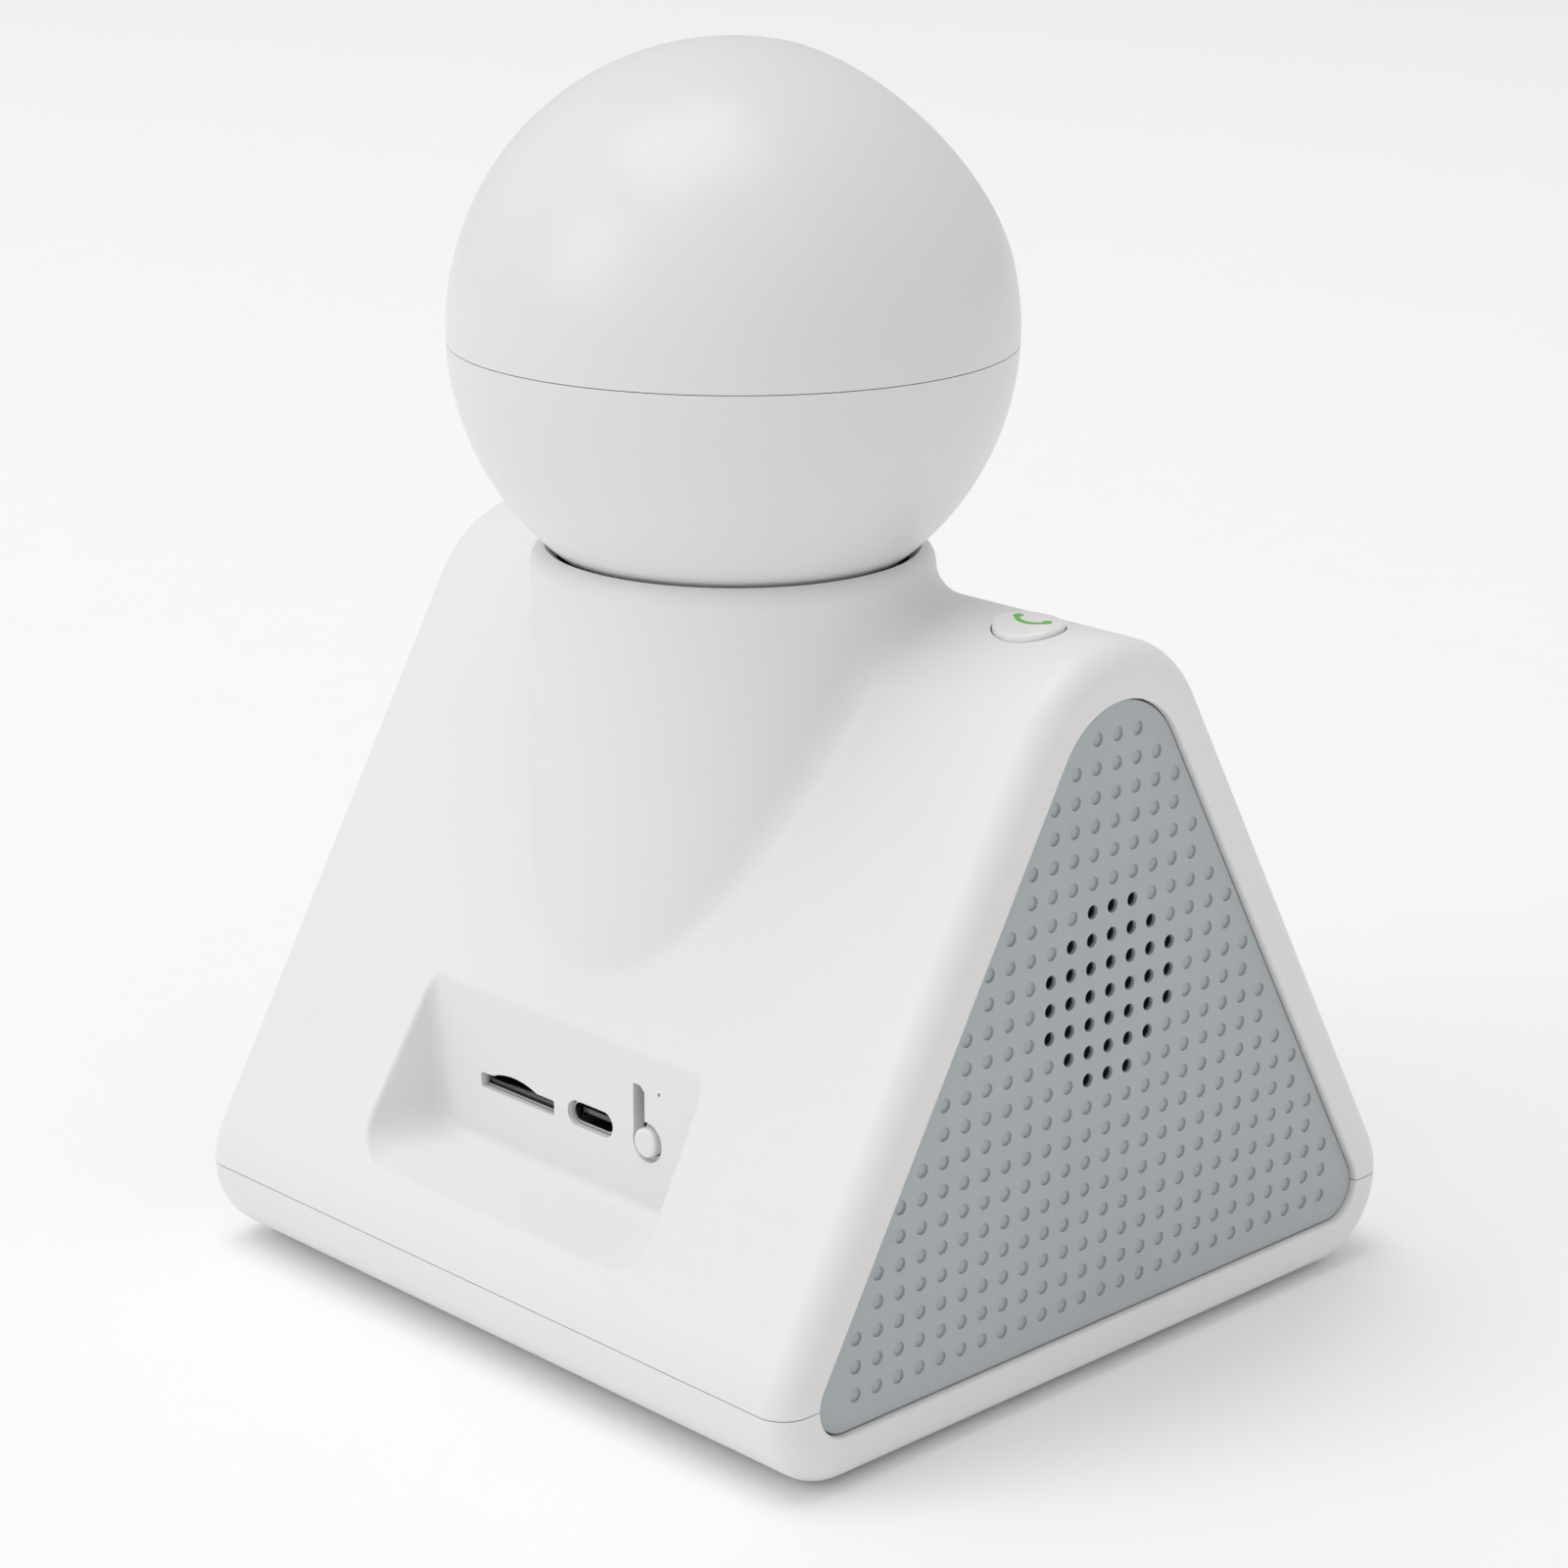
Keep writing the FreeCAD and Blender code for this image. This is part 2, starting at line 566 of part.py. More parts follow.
def body_cavity():
    """The room inside the housing, with the recess, the deck and the collar wall left standing."""
    room = wedge(WALL, -END_X + WALL, END_X - WALL)
    collar_wall = rod(COLLAR_RADIUS, COLLAR_TOP, Vector(0, HEAD_Y, DECK_BOTTOM))
    room = room.cut(collar_wall)
    neck_height = DECK_BOTTOM - COLLAR_ROOT_Z
    neck = rod(COLLAR_RADIUS - WALL, neck_height, Vector(0, HEAD_Y, COLLAR_ROOT_Z))
    return room.fuse(neck).cut(port_block(PORT_SHELL, PORT_SHELL))


def grille_opening():
    """One end's opening and the ledge behind it, as the material to cut and to add."""
    back_x = GRILLE_BACK_X - LEDGE_THICKNESS
    opening = wedge(GRILLE_FRAME, back_x, END_X + 1.0, GRILLE_TOP_EXTRA)
    behind = wedge(GRILLE_FRAME + LEDGE_DEPTH, back_x - 1.0, END_X + 1.0, GRILLE_TOP_EXTRA)
    surround = wedge(GRILLE_FRAME - RETURN_WALL, back_x, END_X - WALL)
    pocket = wedge(GRILLE_FRAME, GRILLE_BACK_X, END_X + 1.0, GRILLE_TOP_EXTRA)
    return surround.cut(pocket).cut(behind), pocket, opening.common(behind)


def is_grille_rim(edge):
    """True for the edges where the grille pockets break the end faces."""
    middle = edge.CenterOfMass
    flat = edge.BoundBox.XLength < 0.01 and abs(abs(middle.x) - END_X) < 0.01
    inset = (END_ROUND + GRILLE_FRAME) / 2
    return flat and abs(middle.y) < slope_y(middle.z, inset) and middle.z > inset


def rounded(shape, radius, chosen):
    return shape.makeFillet(radius, [e for e in shape.Edges if chosen(e)])


def call_hole():
    hole = pebble(CALL_HALF_X + CALL_CLEARANCE, CALL_HALF_Y + CALL_CLEARANCE)
    hole.translate(Vector(CALL_X, CALL_Y, RIDGE_Z))
    return hole


def call_flange_top():
    return RIDGE_Z + RIDGE_RADIUS - WALL - CALL_FLANGE_DROP


def call_board_top():
    return call_flange_top() - CALL_FLANGE_THICKNESS - CALL_SWITCH_GAP - SWITCH_HEIGHT - PLUNGER_HEIGHT


def housing_posts():
    """Screw posts that hang from the slopes and the ridge."""
    posts = []
    holes = []
    foot_z = COVER_BOSS_TOP + JOIN_GAP
    grip = COVER_SINK + COVER_SCREW_LENGTH - foot_z
    for x, y in cover_screw_places():
        posts.append(rod(BOSS_RADIUS, RIDGE_Z, Vector(x, y, foot_z)))
        holes.append(screw_hole(Vector(x, y, foot_z), grip + SCREW_TIP_ROOM))
    for side in (-1, 1):
        foot = Vector(CALL_X + side * CALL_POST_X, CALL_Y, call_board_top())
        posts.append(rod(CALL_POST_RADIUS, RIDGE_RADIUS, foot))
    return joined(posts).common(wedge(WALL / 2, -END_X, END_X)), holes


def deck_holes():
    """Holes in the deck for the spindle, the motor shaft and the motor screws."""
    base_z = DECK_BOTTOM - 1.0
    depth = DECK_THICKNESS + 2.0
    spindle = rod(SPINDLE_RADIUS + SHAFT_FIT, depth, Vector(0, HEAD_Y, base_z))
    shaft = rod(MOTOR_SHAFT_RADIUS + 0.8, depth, PAN_SHAFT + Vector(0, 0, base_z))
    screws = [screw_hole(Vector(side * MOTOR_EAR_X, PAN_SHAFT.y, base_z), depth) for side in (-1, 1)]
    return [spindle, shaft] + screws


def display_recess():
    """The shallow seat of the window and the opening behind it."""
    seat = rounded_plate(WINDOW_WIDTH + 2 * WINDOW_CLEARANCE, WINDOW_HEIGHT + 2 * WINDOW_CLEARANCE,
                         WINDOW_CORNER, WINDOW_THICKNESS + WALL)
    half_width = DISPLAY_WIDTH / 2 + DISPLAY_CLEARANCE
    half_height = DISPLAY_HEIGHT / 2 + DISPLAY_CLEARANCE
    opening = box(-half_width, half_width, -half_height, half_height, 0, WALL * 3)
    on_display_slope(seat, -WINDOW_THICKNESS)
    on_display_slope(opening, -WALL * 2)
    return seat.fuse(opening)


def whole_shell():
    shell = body_with_collar().cut(body_cavity())
    ring, pocket, way_in = grille_opening()
    shell = shell.fuse([ring, mirrored_x(ring)])
    shell = shell.cut([pocket, mirrored_x(pocket), way_in, mirrored_x(way_in)])
    shell = rounded(shell, GRILLE_RIM_ROUND, is_grille_rim)
    shell = rounded(shell.cut(port_recess()), PORT_RIM_ROUND, is_port_rim)
    bore = rod(COLLAR_BORE, COLLAR_TOP, Vector(0, HEAD_Y, DECK_TOP))
    seat = Part.makeSphere(HEAD_RADIUS + SEAT_GAP, HEAD_CENTRE)
    return shell.cut([bore, seat, port_openings(), call_hole(), display_recess()] + deck_holes())


def upper_housing(shell):
    above = body_slab(PARTING_Z + PARTING_GAP / 2, HEAD_Z)
    posts, holes = housing_posts()
    return shell.common(above).fuse(posts).cut(holes + [call_hole()]).removeSplitter()


def body_slab(z_low, z_high):
    """A block as wide and deep as the body between two heights."""
    return box(-END_X - 1, END_X + 1, -BODY_HALF_DEPTH, BODY_HALF_DEPTH, z_low, z_high)


def cover_lip():
    """The rail inside the cover's edge that steps up behind the housing's lower edge."""
    seam_z = PARTING_Z - PARTING_GAP / 2
    lip_inset = WALL + PARTING_GAP
    reach = GRILLE_BACK_X - LEDGE_THICKNESS
    root = wedge(WALL - LIP_ROOT, -reach + LIP_THICKNESS, reach - LIP_THICKNESS)
    root = root.common(body_slab(LIP_START_Z, seam_z))
    lip = wedge(lip_inset, -reach, reach).common(body_slab(LIP_START_Z, PARTING_Z + LIP_HEIGHT))
    core = wedge(lip_inset + LIP_THICKNESS, -END_X, END_X)
    rail = lip.fuse(root).cut(core)
    return rail.cut([port_block(PORT_SHELL + JOIN_GAP, PORT_SHELL + JOIN_GAP)])


def bottom_cover(shell):
    cover = shell.common(body_slab(-1.0, PARTING_Z - PARTING_GAP / 2))
    inner_floor = WALL / 2
    parts = [cover, cover_lip()]
    holes = []
    for x, y in cover_screw_places():
        parts.append(rod(COVER_BOSS_RADIUS, COVER_BOSS_TOP - inner_floor, Vector(x, y, inner_floor)))
        holes.append(rod(SCREW_HEAD_RADIUS + JOIN_GAP, COVER_SINK + SCREW_HEAD_HEIGHT, Vector(x, y, 0)))
        holes.append(screw_hole(Vector(x, y, 0), COVER_BOSS_TOP))
    for x, y in board_posts():
        length = BOARD_TOP - BOARD_THICKNESS - inner_floor
        parts.append(rod(BOARD_POST_RADIUS, length, Vector(x, y, inner_floor)))
        holes.append(screw_hole(Vector(x, y, BOARD_TOP - BOARD_SCREW_LENGTH), BOARD_SCREW_LENGTH))
    for x, y in foot_places():
        holes.append(rod(FOOT_RADIUS, FOOT_THICKNESS - FOOT_PROUD, Vector(x, y, 0)))
    return joined(parts).cut(holes).removeSplitter()


def cover_screw_places():
    return [(x, y) for x in (-COVER_SCREW_X, COVER_SCREW_X) for y in (-COVER_SCREW_Y, COVER_SCREW_Y)]


def foot_places():
    return [(x, y) for x in (-FOOT_X, FOOT_X) for y in (-FOOT_Y, FOOT_Y)]


def rubber_foot(x, y):
    foot = rod(FOOT_RADIUS, FOOT_THICKNESS, Vector(x, y, -FOOT_PROUD))
    low_edge = [e for e in foot.Edges if abs(e.BoundBox.ZMax + FOOT_PROUD) < 0.01]
    return foot.makeFillet(0.4, low_edge)


def cover_screws():
    screws = [screw(Vector(x, y, COVER_SINK), COVER_SCREW_LENGTH, UP) for x, y in cover_screw_places()]
    return Part.makeCompound(screws)


# ---- grilles and speaker ------------------------------------------------------------------
def hole_margin(y, z):
    """Distance from a point of the grille's face to the grille's outline."""
    border = GRILLE_FRAME + GRILLE_GAP
    slanted = (slope_y(z, border) - abs(y)) * math.sin(math.radians(SLOPE))
    arc_radius, arc_z = top_arc(border, GRILLE_TOP_EXTRA)
    rounded = arc_radius - math.hypot(y, z - arc_z) if z > arc_z else slanted
    return min(slanted, rounded, z - border)


def grille_holes():
    """Tools for the hole field: open holes near the middle, blind dimples around them."""
    rows = math.ceil(RIDGE_TOP / HOLE_PITCH)
    columns = math.floor(TOE_Y / HOLE_PITCH)
    tools = []
    for row in range(-rows, rows + 1):
        for column in range(-columns, columns + 1):
            y = column * HOLE_PITCH
            z = HOLE_CENTRE_Z + row * HOLE_PITCH
            if hole_margin(y, z) < HOLE_EDGE_MARGIN:
                continue
            is_open = math.hypot(column, row) <= OPEN_RADIUS + 0.01
            depth = GRILLE_THICKNESS + 2.0 if is_open else DIMPLE_DEPTH + 1.0
            base = Vector(GRILLE_FACE_X + 1.0 - depth, y, z)
            tools.append(rod(HOLE_RADIUS, depth, base, RIGHT))
    return tools


def speaker_post_places():
    places = []
    for quarter in range(4):
        angle = math.radians(45 + 90 * quarter)
        z = HOLE_CENTRE_Z + SPEAKER_EAR_REACH * math.sin(angle)
        places.append((SPEAKER_EAR_REACH * math.cos(angle), z))
    return places


def grille():
    """The +X grille; the other one is its mirror image."""
    plate = wedge(GRILLE_FRAME + GRILLE_GAP, GRILLE_BACK_X, GRILLE_FACE_X, GRILLE_TOP_EXTRA)
    posts = []
    holes = []
    for y, z in speaker_post_places():
        base = Vector(GRILLE_BACK_X - SPEAKER_POST_LENGTH, y, z)
        posts.append(rod(SPEAKER_POST_RADIUS, SPEAKER_POST_LENGTH + 0.5, base, RIGHT))
        holes.append(screw_hole(base, SPEAKER_POST_LENGTH, RIGHT))
    return joined([plate] + posts).cut(grille_holes() + holes)


def speaker_front_x():
    return GRILLE_BACK_X - SPEAKER_POST_LENGTH


def speaker_frame():
    """The driver's basket, facing +X; it is mirrored to the speaker's side."""
    front = speaker_front_x()
    centre = Vector(front - SPEAKER_PLATE, 0, HOLE_CENTRE_Z)
    plate = rod(SPEAKER_RADIUS, SPEAKER_PLATE, centre, RIGHT)
    ears = []
    holes = [rod(CONE_RADIUS + 0.2, SPEAKER_PLATE, centre, RIGHT)]
    for y, z in speaker_post_places():
        ears.append(rod(SPEAKER_POST_RADIUS + 0.6, SPEAKER_PLATE, Vector(centre.x, y, z), RIGHT))
        holes.append(screw_hole(Vector(centre.x, y, z), SPEAKER_PLATE, RIGHT))
    depth = SPEAKER_DEPTH - MAGNET_THICKNESS - SPEAKER_PLATE
    basket_base = centre - RIGHT * depth
    basket = Part.makeCone(MAGNET_RADIUS, SPEAKER_RADIUS - 1.0, depth, basket_base, RIGHT)
    hollow = Part.makeCone(MAGNET_RADIUS - 1.0, CONE_RADIUS + 0.2, depth, basket_base, RIGHT)
    for quarter in range(4):
        window = box(basket_base.x + 1.6, centre.x - 0.8, -SPEAKER_RADIUS, SPEAKER_RADIUS, -4.0, 4.0)
        window.rotate(Vector(0, 0, 0), RIGHT, 45 + 90 * quarter)
        window.translate(Vector(0, 0, HOLE_CENTRE_Z))
        holes.append(window)
    return mirrored_x(joined([plate, basket] + ears).cut([hollow] + holes))


def speaker_cone():
    front = speaker_front_x() - 0.2
    depth = SPEAKER_DEPTH - MAGNET_THICKNESS - SPEAKER_PLATE - 1.0
    section = [
        Vector(front - depth, 3.0, 0),
        Vector(front, CONE_RADIUS - 3.2, 0),
        Vector(front, CONE_RADIUS, 0),
        Vector(front - 0.6, CONE_RADIUS, 0),
        Vector(front - 0.6, CONE_RADIUS - 3.4, 0),
        Vector(front - depth - 0.6, 3.2, 0),
    ]
    paper = Part.Face(Part.makePolygon(section + [section[0]])).revolve(Vector(0, 0, 0), RIGHT, 360)
    cap = Part.makeSphere(5.0, Vector(front - depth - 1.6, 0, 0), RIGHT)
    cap = cap.common(rod(5.0, 4.0, Vector(front - depth, 0, 0), RIGHT))
    cone = paper.fuse(cap)
    cone.translate(Vector(0, 0, HOLE_CENTRE_Z))
    return mirrored_x(cone)


def speaker_magnet():
    back = speaker_front_x() - SPEAKER_DEPTH
    magnet = rod(MAGNET_RADIUS, MAGNET_THICKNESS, Vector(back, 0, HOLE_CENTRE_Z), RIGHT)
    vent = rod(1.5, 3.0, Vector(back, 0, HOLE_CENTRE_Z), RIGHT)
    return mirrored_x(magnet.cut(vent))


def speaker_gasket():
    base = Vector(speaker_front_x(), 0, HOLE_CENTRE_Z)
    return mirrored_x(tube(SPEAKER_RADIUS - 0.8, CONE_RADIUS + 0.2, SPEAKER_POST_LENGTH, base, RIGHT))


def speaker_screws():
    head_x = speaker_front_x() - SPEAKER_PLATE - SCREW_HEAD_HEIGHT
    screws = [screw(Vector(head_x, y, z), 5.4, RIGHT) for y, z in speaker_post_places()]
    return mirrored_x(Part.makeCompound(screws))


# ---- display ------------------------------------------------------------------------------
def display_window():
    plate = rounded_plate(WINDOW_WIDTH, WINDOW_HEIGHT, WINDOW_CORNER, WINDOW_THICKNESS)
    return on_display_slope(plate, -WINDOW_THICKNESS)


def display_module():
    plate = rounded_plate(DISPLAY_WIDTH, DISPLAY_HEIGHT, 1.0, DISPLAY_THICKNESS)
    return on_display_slope(plate, -WINDOW_THICKNESS - DISPLAY_THICKNESS)


def display_bracket():
    """A sheet-metal strap behind the display that holds it against the window."""
    back = -WINDOW_THICKNESS - DISPLAY_THICKNESS
    height = DISPLAY_HEIGHT - 3 * STRAP_WIDTH / 2
    strap = rounded_plate(DISPLAY_WIDTH + STRAP_WIDTH, height, 2.0, STRAP_THICKNESS)
    half_width = DISPLAY_WIDTH / 2 - STRAP_WIDTH
    half_height = DISPLAY_HEIGHT / 2 - 3 * STRAP_WIDTH / 2
    hollow = box(-half_width, half_width, -half_height, half_height, 0, STRAP_THICKNESS)
    return on_display_slope(strap.cut(hollow), back - STRAP_THICKNESS)


# ---- electronics --------------------------------------------------------------------------
def board_posts():
    rows = (BOARD_FRONT_Y + BOARD_POST_SETBACK, BOARD_EDGE_Y - BOARD_POST_SETBACK)
    return [(x, y) for x in (-BOARD_POST_X, BOARD_POST_X) for y in rows]


def main_board():
    board = box(-BOARD_HALF_WIDTH, BOARD_HALF_WIDTH, BOARD_FRONT_Y, BOARD_EDGE_Y,
                BOARD_TOP - BOARD_THICKNESS, BOARD_TOP)
    holes = [screw_hole(Vector(x, y, BOARD_TOP - BOARD_THICKNESS), BOARD_THICKNESS) for x, y in board_posts()]
    return board.cut(holes)


def board_screws():
    down = Vector(0, 0, -1)
    head_z = BOARD_TOP + SCREW_HEAD_HEIGHT
    heads = [Vector(x, y, head_z) for x, y in board_posts()]
    return Part.makeCompound([screw(head, BOARD_SCREW_LENGTH, down) for head in heads])


def board_chips():
    middle = (BOARD_FRONT_Y + BOARD_EDGE_Y) / 2
    chips = [
        box(-8, 4, middle - 11, middle + 1, BOARD_TOP, BOARD_TOP + 1.4),
        box(12, 20, middle - 9, middle - 2, BOARD_TOP, BOARD_TOP + 1.1),
        box(-24, -17, middle - 1, middle + 5, BOARD_TOP, BOARD_TOP + 1.1),
        rod(3.0, 6.0, Vector(-28, middle - 15, BOARD_TOP)),
        rod(3.0, 6.0, Vector(-28, middle - 23, BOARD_TOP)),
    ]
    return Part.makeCompound(chips)


def wireless_shield():
    middle = (BOARD_FRONT_Y + BOARD_EDGE_Y) / 2
    shield = box(10, 26, middle - 27, middle - 13, BOARD_TOP, BOARD_TOP + 2.2)
    room = box(10.4, 25.6, middle - 26.6, middle - 13.4, BOARD_TOP, BOARD_TOP + 1.8)
    return shield.cut(room)


def usb_c_shell():
    mouth_y = PORT_WALL_Y - USB_SET_BACK
    base = Vector(USB_X, mouth_y - USB_DEPTH, USB_Z)
    outer = stadium(USB_WIDTH, USB_HEIGHT, USB_DEPTH, base)
    inner = stadium(USB_WIDTH - 2 * USB_SHELL, USB_HEIGHT - 2 * USB_SHELL, USB_DEPTH, base + BACK * 1.2)
    return outer.cut(inner)


def usb_c_tongue():
    mouth_y = PORT_WALL_Y - USB_SET_BACK
    return box(USB_X - 3.3, USB_X + 3.3, mouth_y - USB_DEPTH + 1.2, mouth_y - 0.9, USB_Z - 0.35, USB_Z + 0.35)


def card_socket_box(inset, back):
    """The socket's outline moved inward by inset, its rear end at back from the mouth."""
    mouth_y = PORT_WALL_Y - CARD_SET_BACK
    half = CARD_SOCKET_WIDTH / 2 - inset
    top = BOARD_TOP + CARD_SOCKET_HEIGHT - inset
    return box(CARD_X - half, CARD_X + half, mouth_y - back, mouth_y, BOARD_TOP + inset, top)


def microsd_socket():
    """The card socket's folded shell, its top plate relieved for a fingertip."""
    outer = card_socket_box(0, CARD_SOCKET_DEPTH)
    inner = card_socket_box(CARD_SOCKET_WALL, CARD_SOCKET_DEPTH - 1.0)
    relief = thumb_relief(-CARD_SOCKET_WALL, PORT_WALL_Y - CARD_SET_BACK - 2.0, 2.0)
    return outer.cut([inner, relief])


def microsd_carrier():
    """The black contact carrier on the floor of the card socket."""
    block = card_socket_box(CARD_SOCKET_WALL + 0.1, CARD_SOCKET_DEPTH - 1.5)
    half_height = CARD_SOCKET_HEIGHT / 2
    keep = box(-BODY_WIDTH, BODY_WIDTH, -BODY_HALF_DEPTH, PORT_WALL_Y - CARD_SET_BACK - 0.5,
               BOARD_TOP, BOARD_TOP + half_height)
    return block.common(keep)


def reset_back():
    return PORT_WALL_Y - PORT_SHELL - JOIN_GAP - RESET_FLANGE_THICKNESS


def reset_button():
    flange_back = reset_back()
    cap_length = PORT_WALL_Y + RESET_PROUD - flange_back
    cap = rod(RESET_RADIUS, cap_length, Vector(RESET_X, flange_back, RESET_Z), BACK)
    front = [e for e in cap.Edges if abs(e.BoundBox.YMin - PORT_WALL_Y - RESET_PROUD) < 0.01]
    cap = cap.makeFillet(0.5, front)
    flange_radius = RESET_RADIUS + RESET_FLANGE
    flange = rod(flange_radius, RESET_FLANGE_THICKNESS, Vector(RESET_X, flange_back, RESET_Z), BACK)
    return cap.fuse(flange)


def reset_switch():
    back = reset_back()
    body = box(RESET_X - 3, RESET_X + 3, back - 4.8, back - 1.4, BOARD_TOP, BOARD_TOP + 3.4)
    plunger = rod(0.9, 1.0, Vector(RESET_X, back - 1.6, RESET_Z), BACK)
    return body.fuse(plunger)


def microphone():
    back_y = PORT_WALL_Y - PORT_SHELL - MIC_THICKNESS
    return rod(MIC_RADIUS, MIC_THICKNESS, Vector(MIC_X, back_y, MIC_Z), BACK)


# ---- call button --------------------------------------------------------------------------
def pebble(half_x, half_y):
    """An upright oval prism about the local Z axis, tall enough to pass through the ridge."""
    outline = Part.Ellipse(Vector(0, 0, 0), half_x, half_y).toShape()
    return Part.Face(Part.Wire([outline])).extrude(Vector(0, 0, RIDGE_RADIUS * 2))


def ridge_rod(radius):
    return rod(radius, 40.0, Vector(CALL_X - 20.0, 0, RIDGE_Z), RIGHT)


def call_button_top():
    """The pebble's body, its top following the ridge."""
    prism = pebble(CALL_HALF_X, CALL_HALF_Y)
    prism.translate(Vector(CALL_X, CALL_Y, call_flange_top() - 0.5))
    return prism.common(ridge_rod(RIDGE_RADIUS + CALL_PROUD))


def icon_solid():
    """A telephone handset: an arc with an earpiece pad at each end, standing upright."""
    height = RIDGE_RADIUS * 2
    half_width = ICON_WIDTH / 2
    sag = ICON_RADIUS - math.sqrt(ICON_RADIUS ** 2 - ICON_HALF_SPAN ** 2)
    ring = tube(ICON_RADIUS + half_width, ICON_RADIUS - half_width, height, Vector(0, -ICON_RADIUS, 0))
    keep = box(-ICON_HALF_SPAN, ICON_HALF_SPAN, -sag - half_width, ICON_WIDTH, 0, height)
    ends = [Vector(side * ICON_HALF_SPAN, -sag - half_width, 0) for side in (-1, 1)]
    pads = [rod(ICON_PAD_RADIUS, height, end) for end in ends]
    icon = joined([ring.common(keep)] + pads)
    icon.translate(Vector(CALL_X, CALL_Y + ICON_SHIFT_Y, RIDGE_Z))
    return icon


def call_icon():
    skin = ridge_rod(RIDGE_RADIUS + CALL_PROUD + 0.02).cut(ridge_rod(RIDGE_RADIUS + CALL_PROUD - ICON_DEPTH))
    return icon_solid().common(skin)


def call_button():
    top = call_button_top()
    crown = [e for e in top.Edges if e.CenterOfMass.z > RIDGE_Z + RIDGE_RADIUS - 1.0]
    top = top.makeFillet(CALL_ROUND, crown)
    flange = pebble(CALL_HALF_X + CALL_FLANGE_RIM, CALL_HALF_Y + CALL_FLANGE_RIM)
    flange.translate(Vector(CALL_X, CALL_Y, call_flange_top() - CALL_FLANGE_THICKNESS))
    slab = body_slab(call_flange_top() - CALL_FLANGE_THICKNESS, call_flange_top())
    return top.fuse(flange.common(slab)).cut(call_icon())


def call_board():
    top = call_board_top()
    return box(CALL_X - CALL_BOARD_HALF_X, CALL_X + CALL_BOARD_HALF_X,
               CALL_Y - CALL_BOARD_HALF_Y, CALL_Y + CALL_BOARD_HALF_Y, top - CALL_BOARD_THICKNESS, top)


def call_switch():
    base = call_board_top()
    half = SWITCH_WIDTH / 2
    body = box(CALL_X - half, CALL_X + half, CALL_Y - half, CALL_Y + half, base, base + SWITCH_HEIGHT)
    return body.fuse(rod(PLUNGER_RADIUS, PLUNGER_HEIGHT, Vector(CALL_X, CALL_Y, base + SWITCH_HEIGHT)))


# ---- pan drive ----------------------------------------------------------------------------
def pan_motor():
    can_base = PAN_SHAFT + Vector(0, -PAN_MOTOR_OFFSET, DECK_BOTTOM - PAN_MOTOR_LENGTH)
    can = rod(PAN_MOTOR_RADIUS, PAN_MOTOR_LENGTH, can_base)
    ear_z = DECK_BOTTOM - MOTOR_EAR_THICKNESS
    reach = MOTOR_EAR_X + MOTOR_EAR_HALF
    ears = box(-reach, reach, PAN_SHAFT.y - MOTOR_EAR_HALF, PAN_SHAFT.y + MOTOR_EAR_HALF, ear_z, DECK_BOTTOM)
    bases = [Vector(side * MOTOR_EAR_X, PAN_SHAFT.y, ear_z) for side in (-1, 1)]
    return can.fuse(ears).cut([screw_hole(base, MOTOR_EAR_THICKNESS) for base in bases])


def motor_screws():
    head_z = DECK_BOTTOM - MOTOR_EAR_THICKNESS - SCREW_HEAD_HEIGHT
    length = SCREW_HEAD_HEIGHT + MOTOR_EAR_THICKNESS + DECK_THICKNESS - 0.4
    return Part.makeCompound([screw(Vector(side * MOTOR_EAR_X, PAN_SHAFT.y, head_z), length, UP)
                              for side in (-1, 1)])


def pan_pinion():
    """The pinion and the motor shaft that it is pressed on, turning as one."""
    toward_gear = 90.0
    teeth = gear(PINION_TEETH, GEAR_WIDTH - 0.3, PINION_HUB, toward_gear + 180.0 / PINION_TEETH)
    teeth.translate(PAN_SHAFT + Vector(0, 0, GEAR_BOTTOM - 0.1))
    stub_base = DECK_BOTTOM + JOIN_GAP
    length = GEAR_BOTTOM + GEAR_WIDTH - 0.4 - stub_base
    stub = rod(MOTOR_SHAFT_RADIUS, length, PAN_SHAFT + Vector(0, 0, stub_base))
    return teeth.fuse(stub)


def pan_gear():
    wheel = gear(PAN_TEETH, GEAR_WIDTH, SPINDLE_RADIUS + PRESS_FIT, -90.0)
    wheel.translate(Vector(0, HEAD_Y, GEAR_BOTTOM))
    return wheel


def pan_washer():
    base = Vector(0, HEAD_Y, DECK_TOP)
    return tube(SPINDLE_RADIUS + WASHER_RIM, SPINDLE_RADIUS + JOIN_GAP, WASHER_THICKNESS, base)


def pan_turntable():
    disc = rod(COLLAR_BORE - TURNTABLE_GAP, TURNTABLE_THICKNESS, Vector(0, HEAD_Y, TURNTABLE_BOTTOM))
    foot_z = DECK_BOTTOM - RING_THICKNESS - JOIN_GAP - 1.0
    spindle = rod(SPINDLE_RADIUS, TURNTABLE_BOTTOM - foot_z, Vector(0, HEAD_Y, foot_z))
    bore = rod(SPINDLE_BORE, TURNTABLE_TOP - foot_z, Vector(0, HEAD_Y, foot_z))
    return disc.fuse(spindle).cut(bore)


def pan_retaining_ring():
    base = Vector(0, HEAD_Y, DECK_BOTTOM - JOIN_GAP - RING_THICKNESS)
    return tube(RING_RADIUS, SPINDLE_RADIUS + PRESS_FIT, RING_THICKNESS, base)


# ---- yoke and tilt drive ------------------------------------------------------------------
def tilt_shaft():
    angle = math.radians(TILT_MOTOR_ANGLE)
    return HEAD_CENTRE + Vector(0, TILT_CENTRES * math.cos(angle), TILT_CENTRES * math.sin(angle))


def motor_plate_x():
    return -POST_HALF_X + 1.0


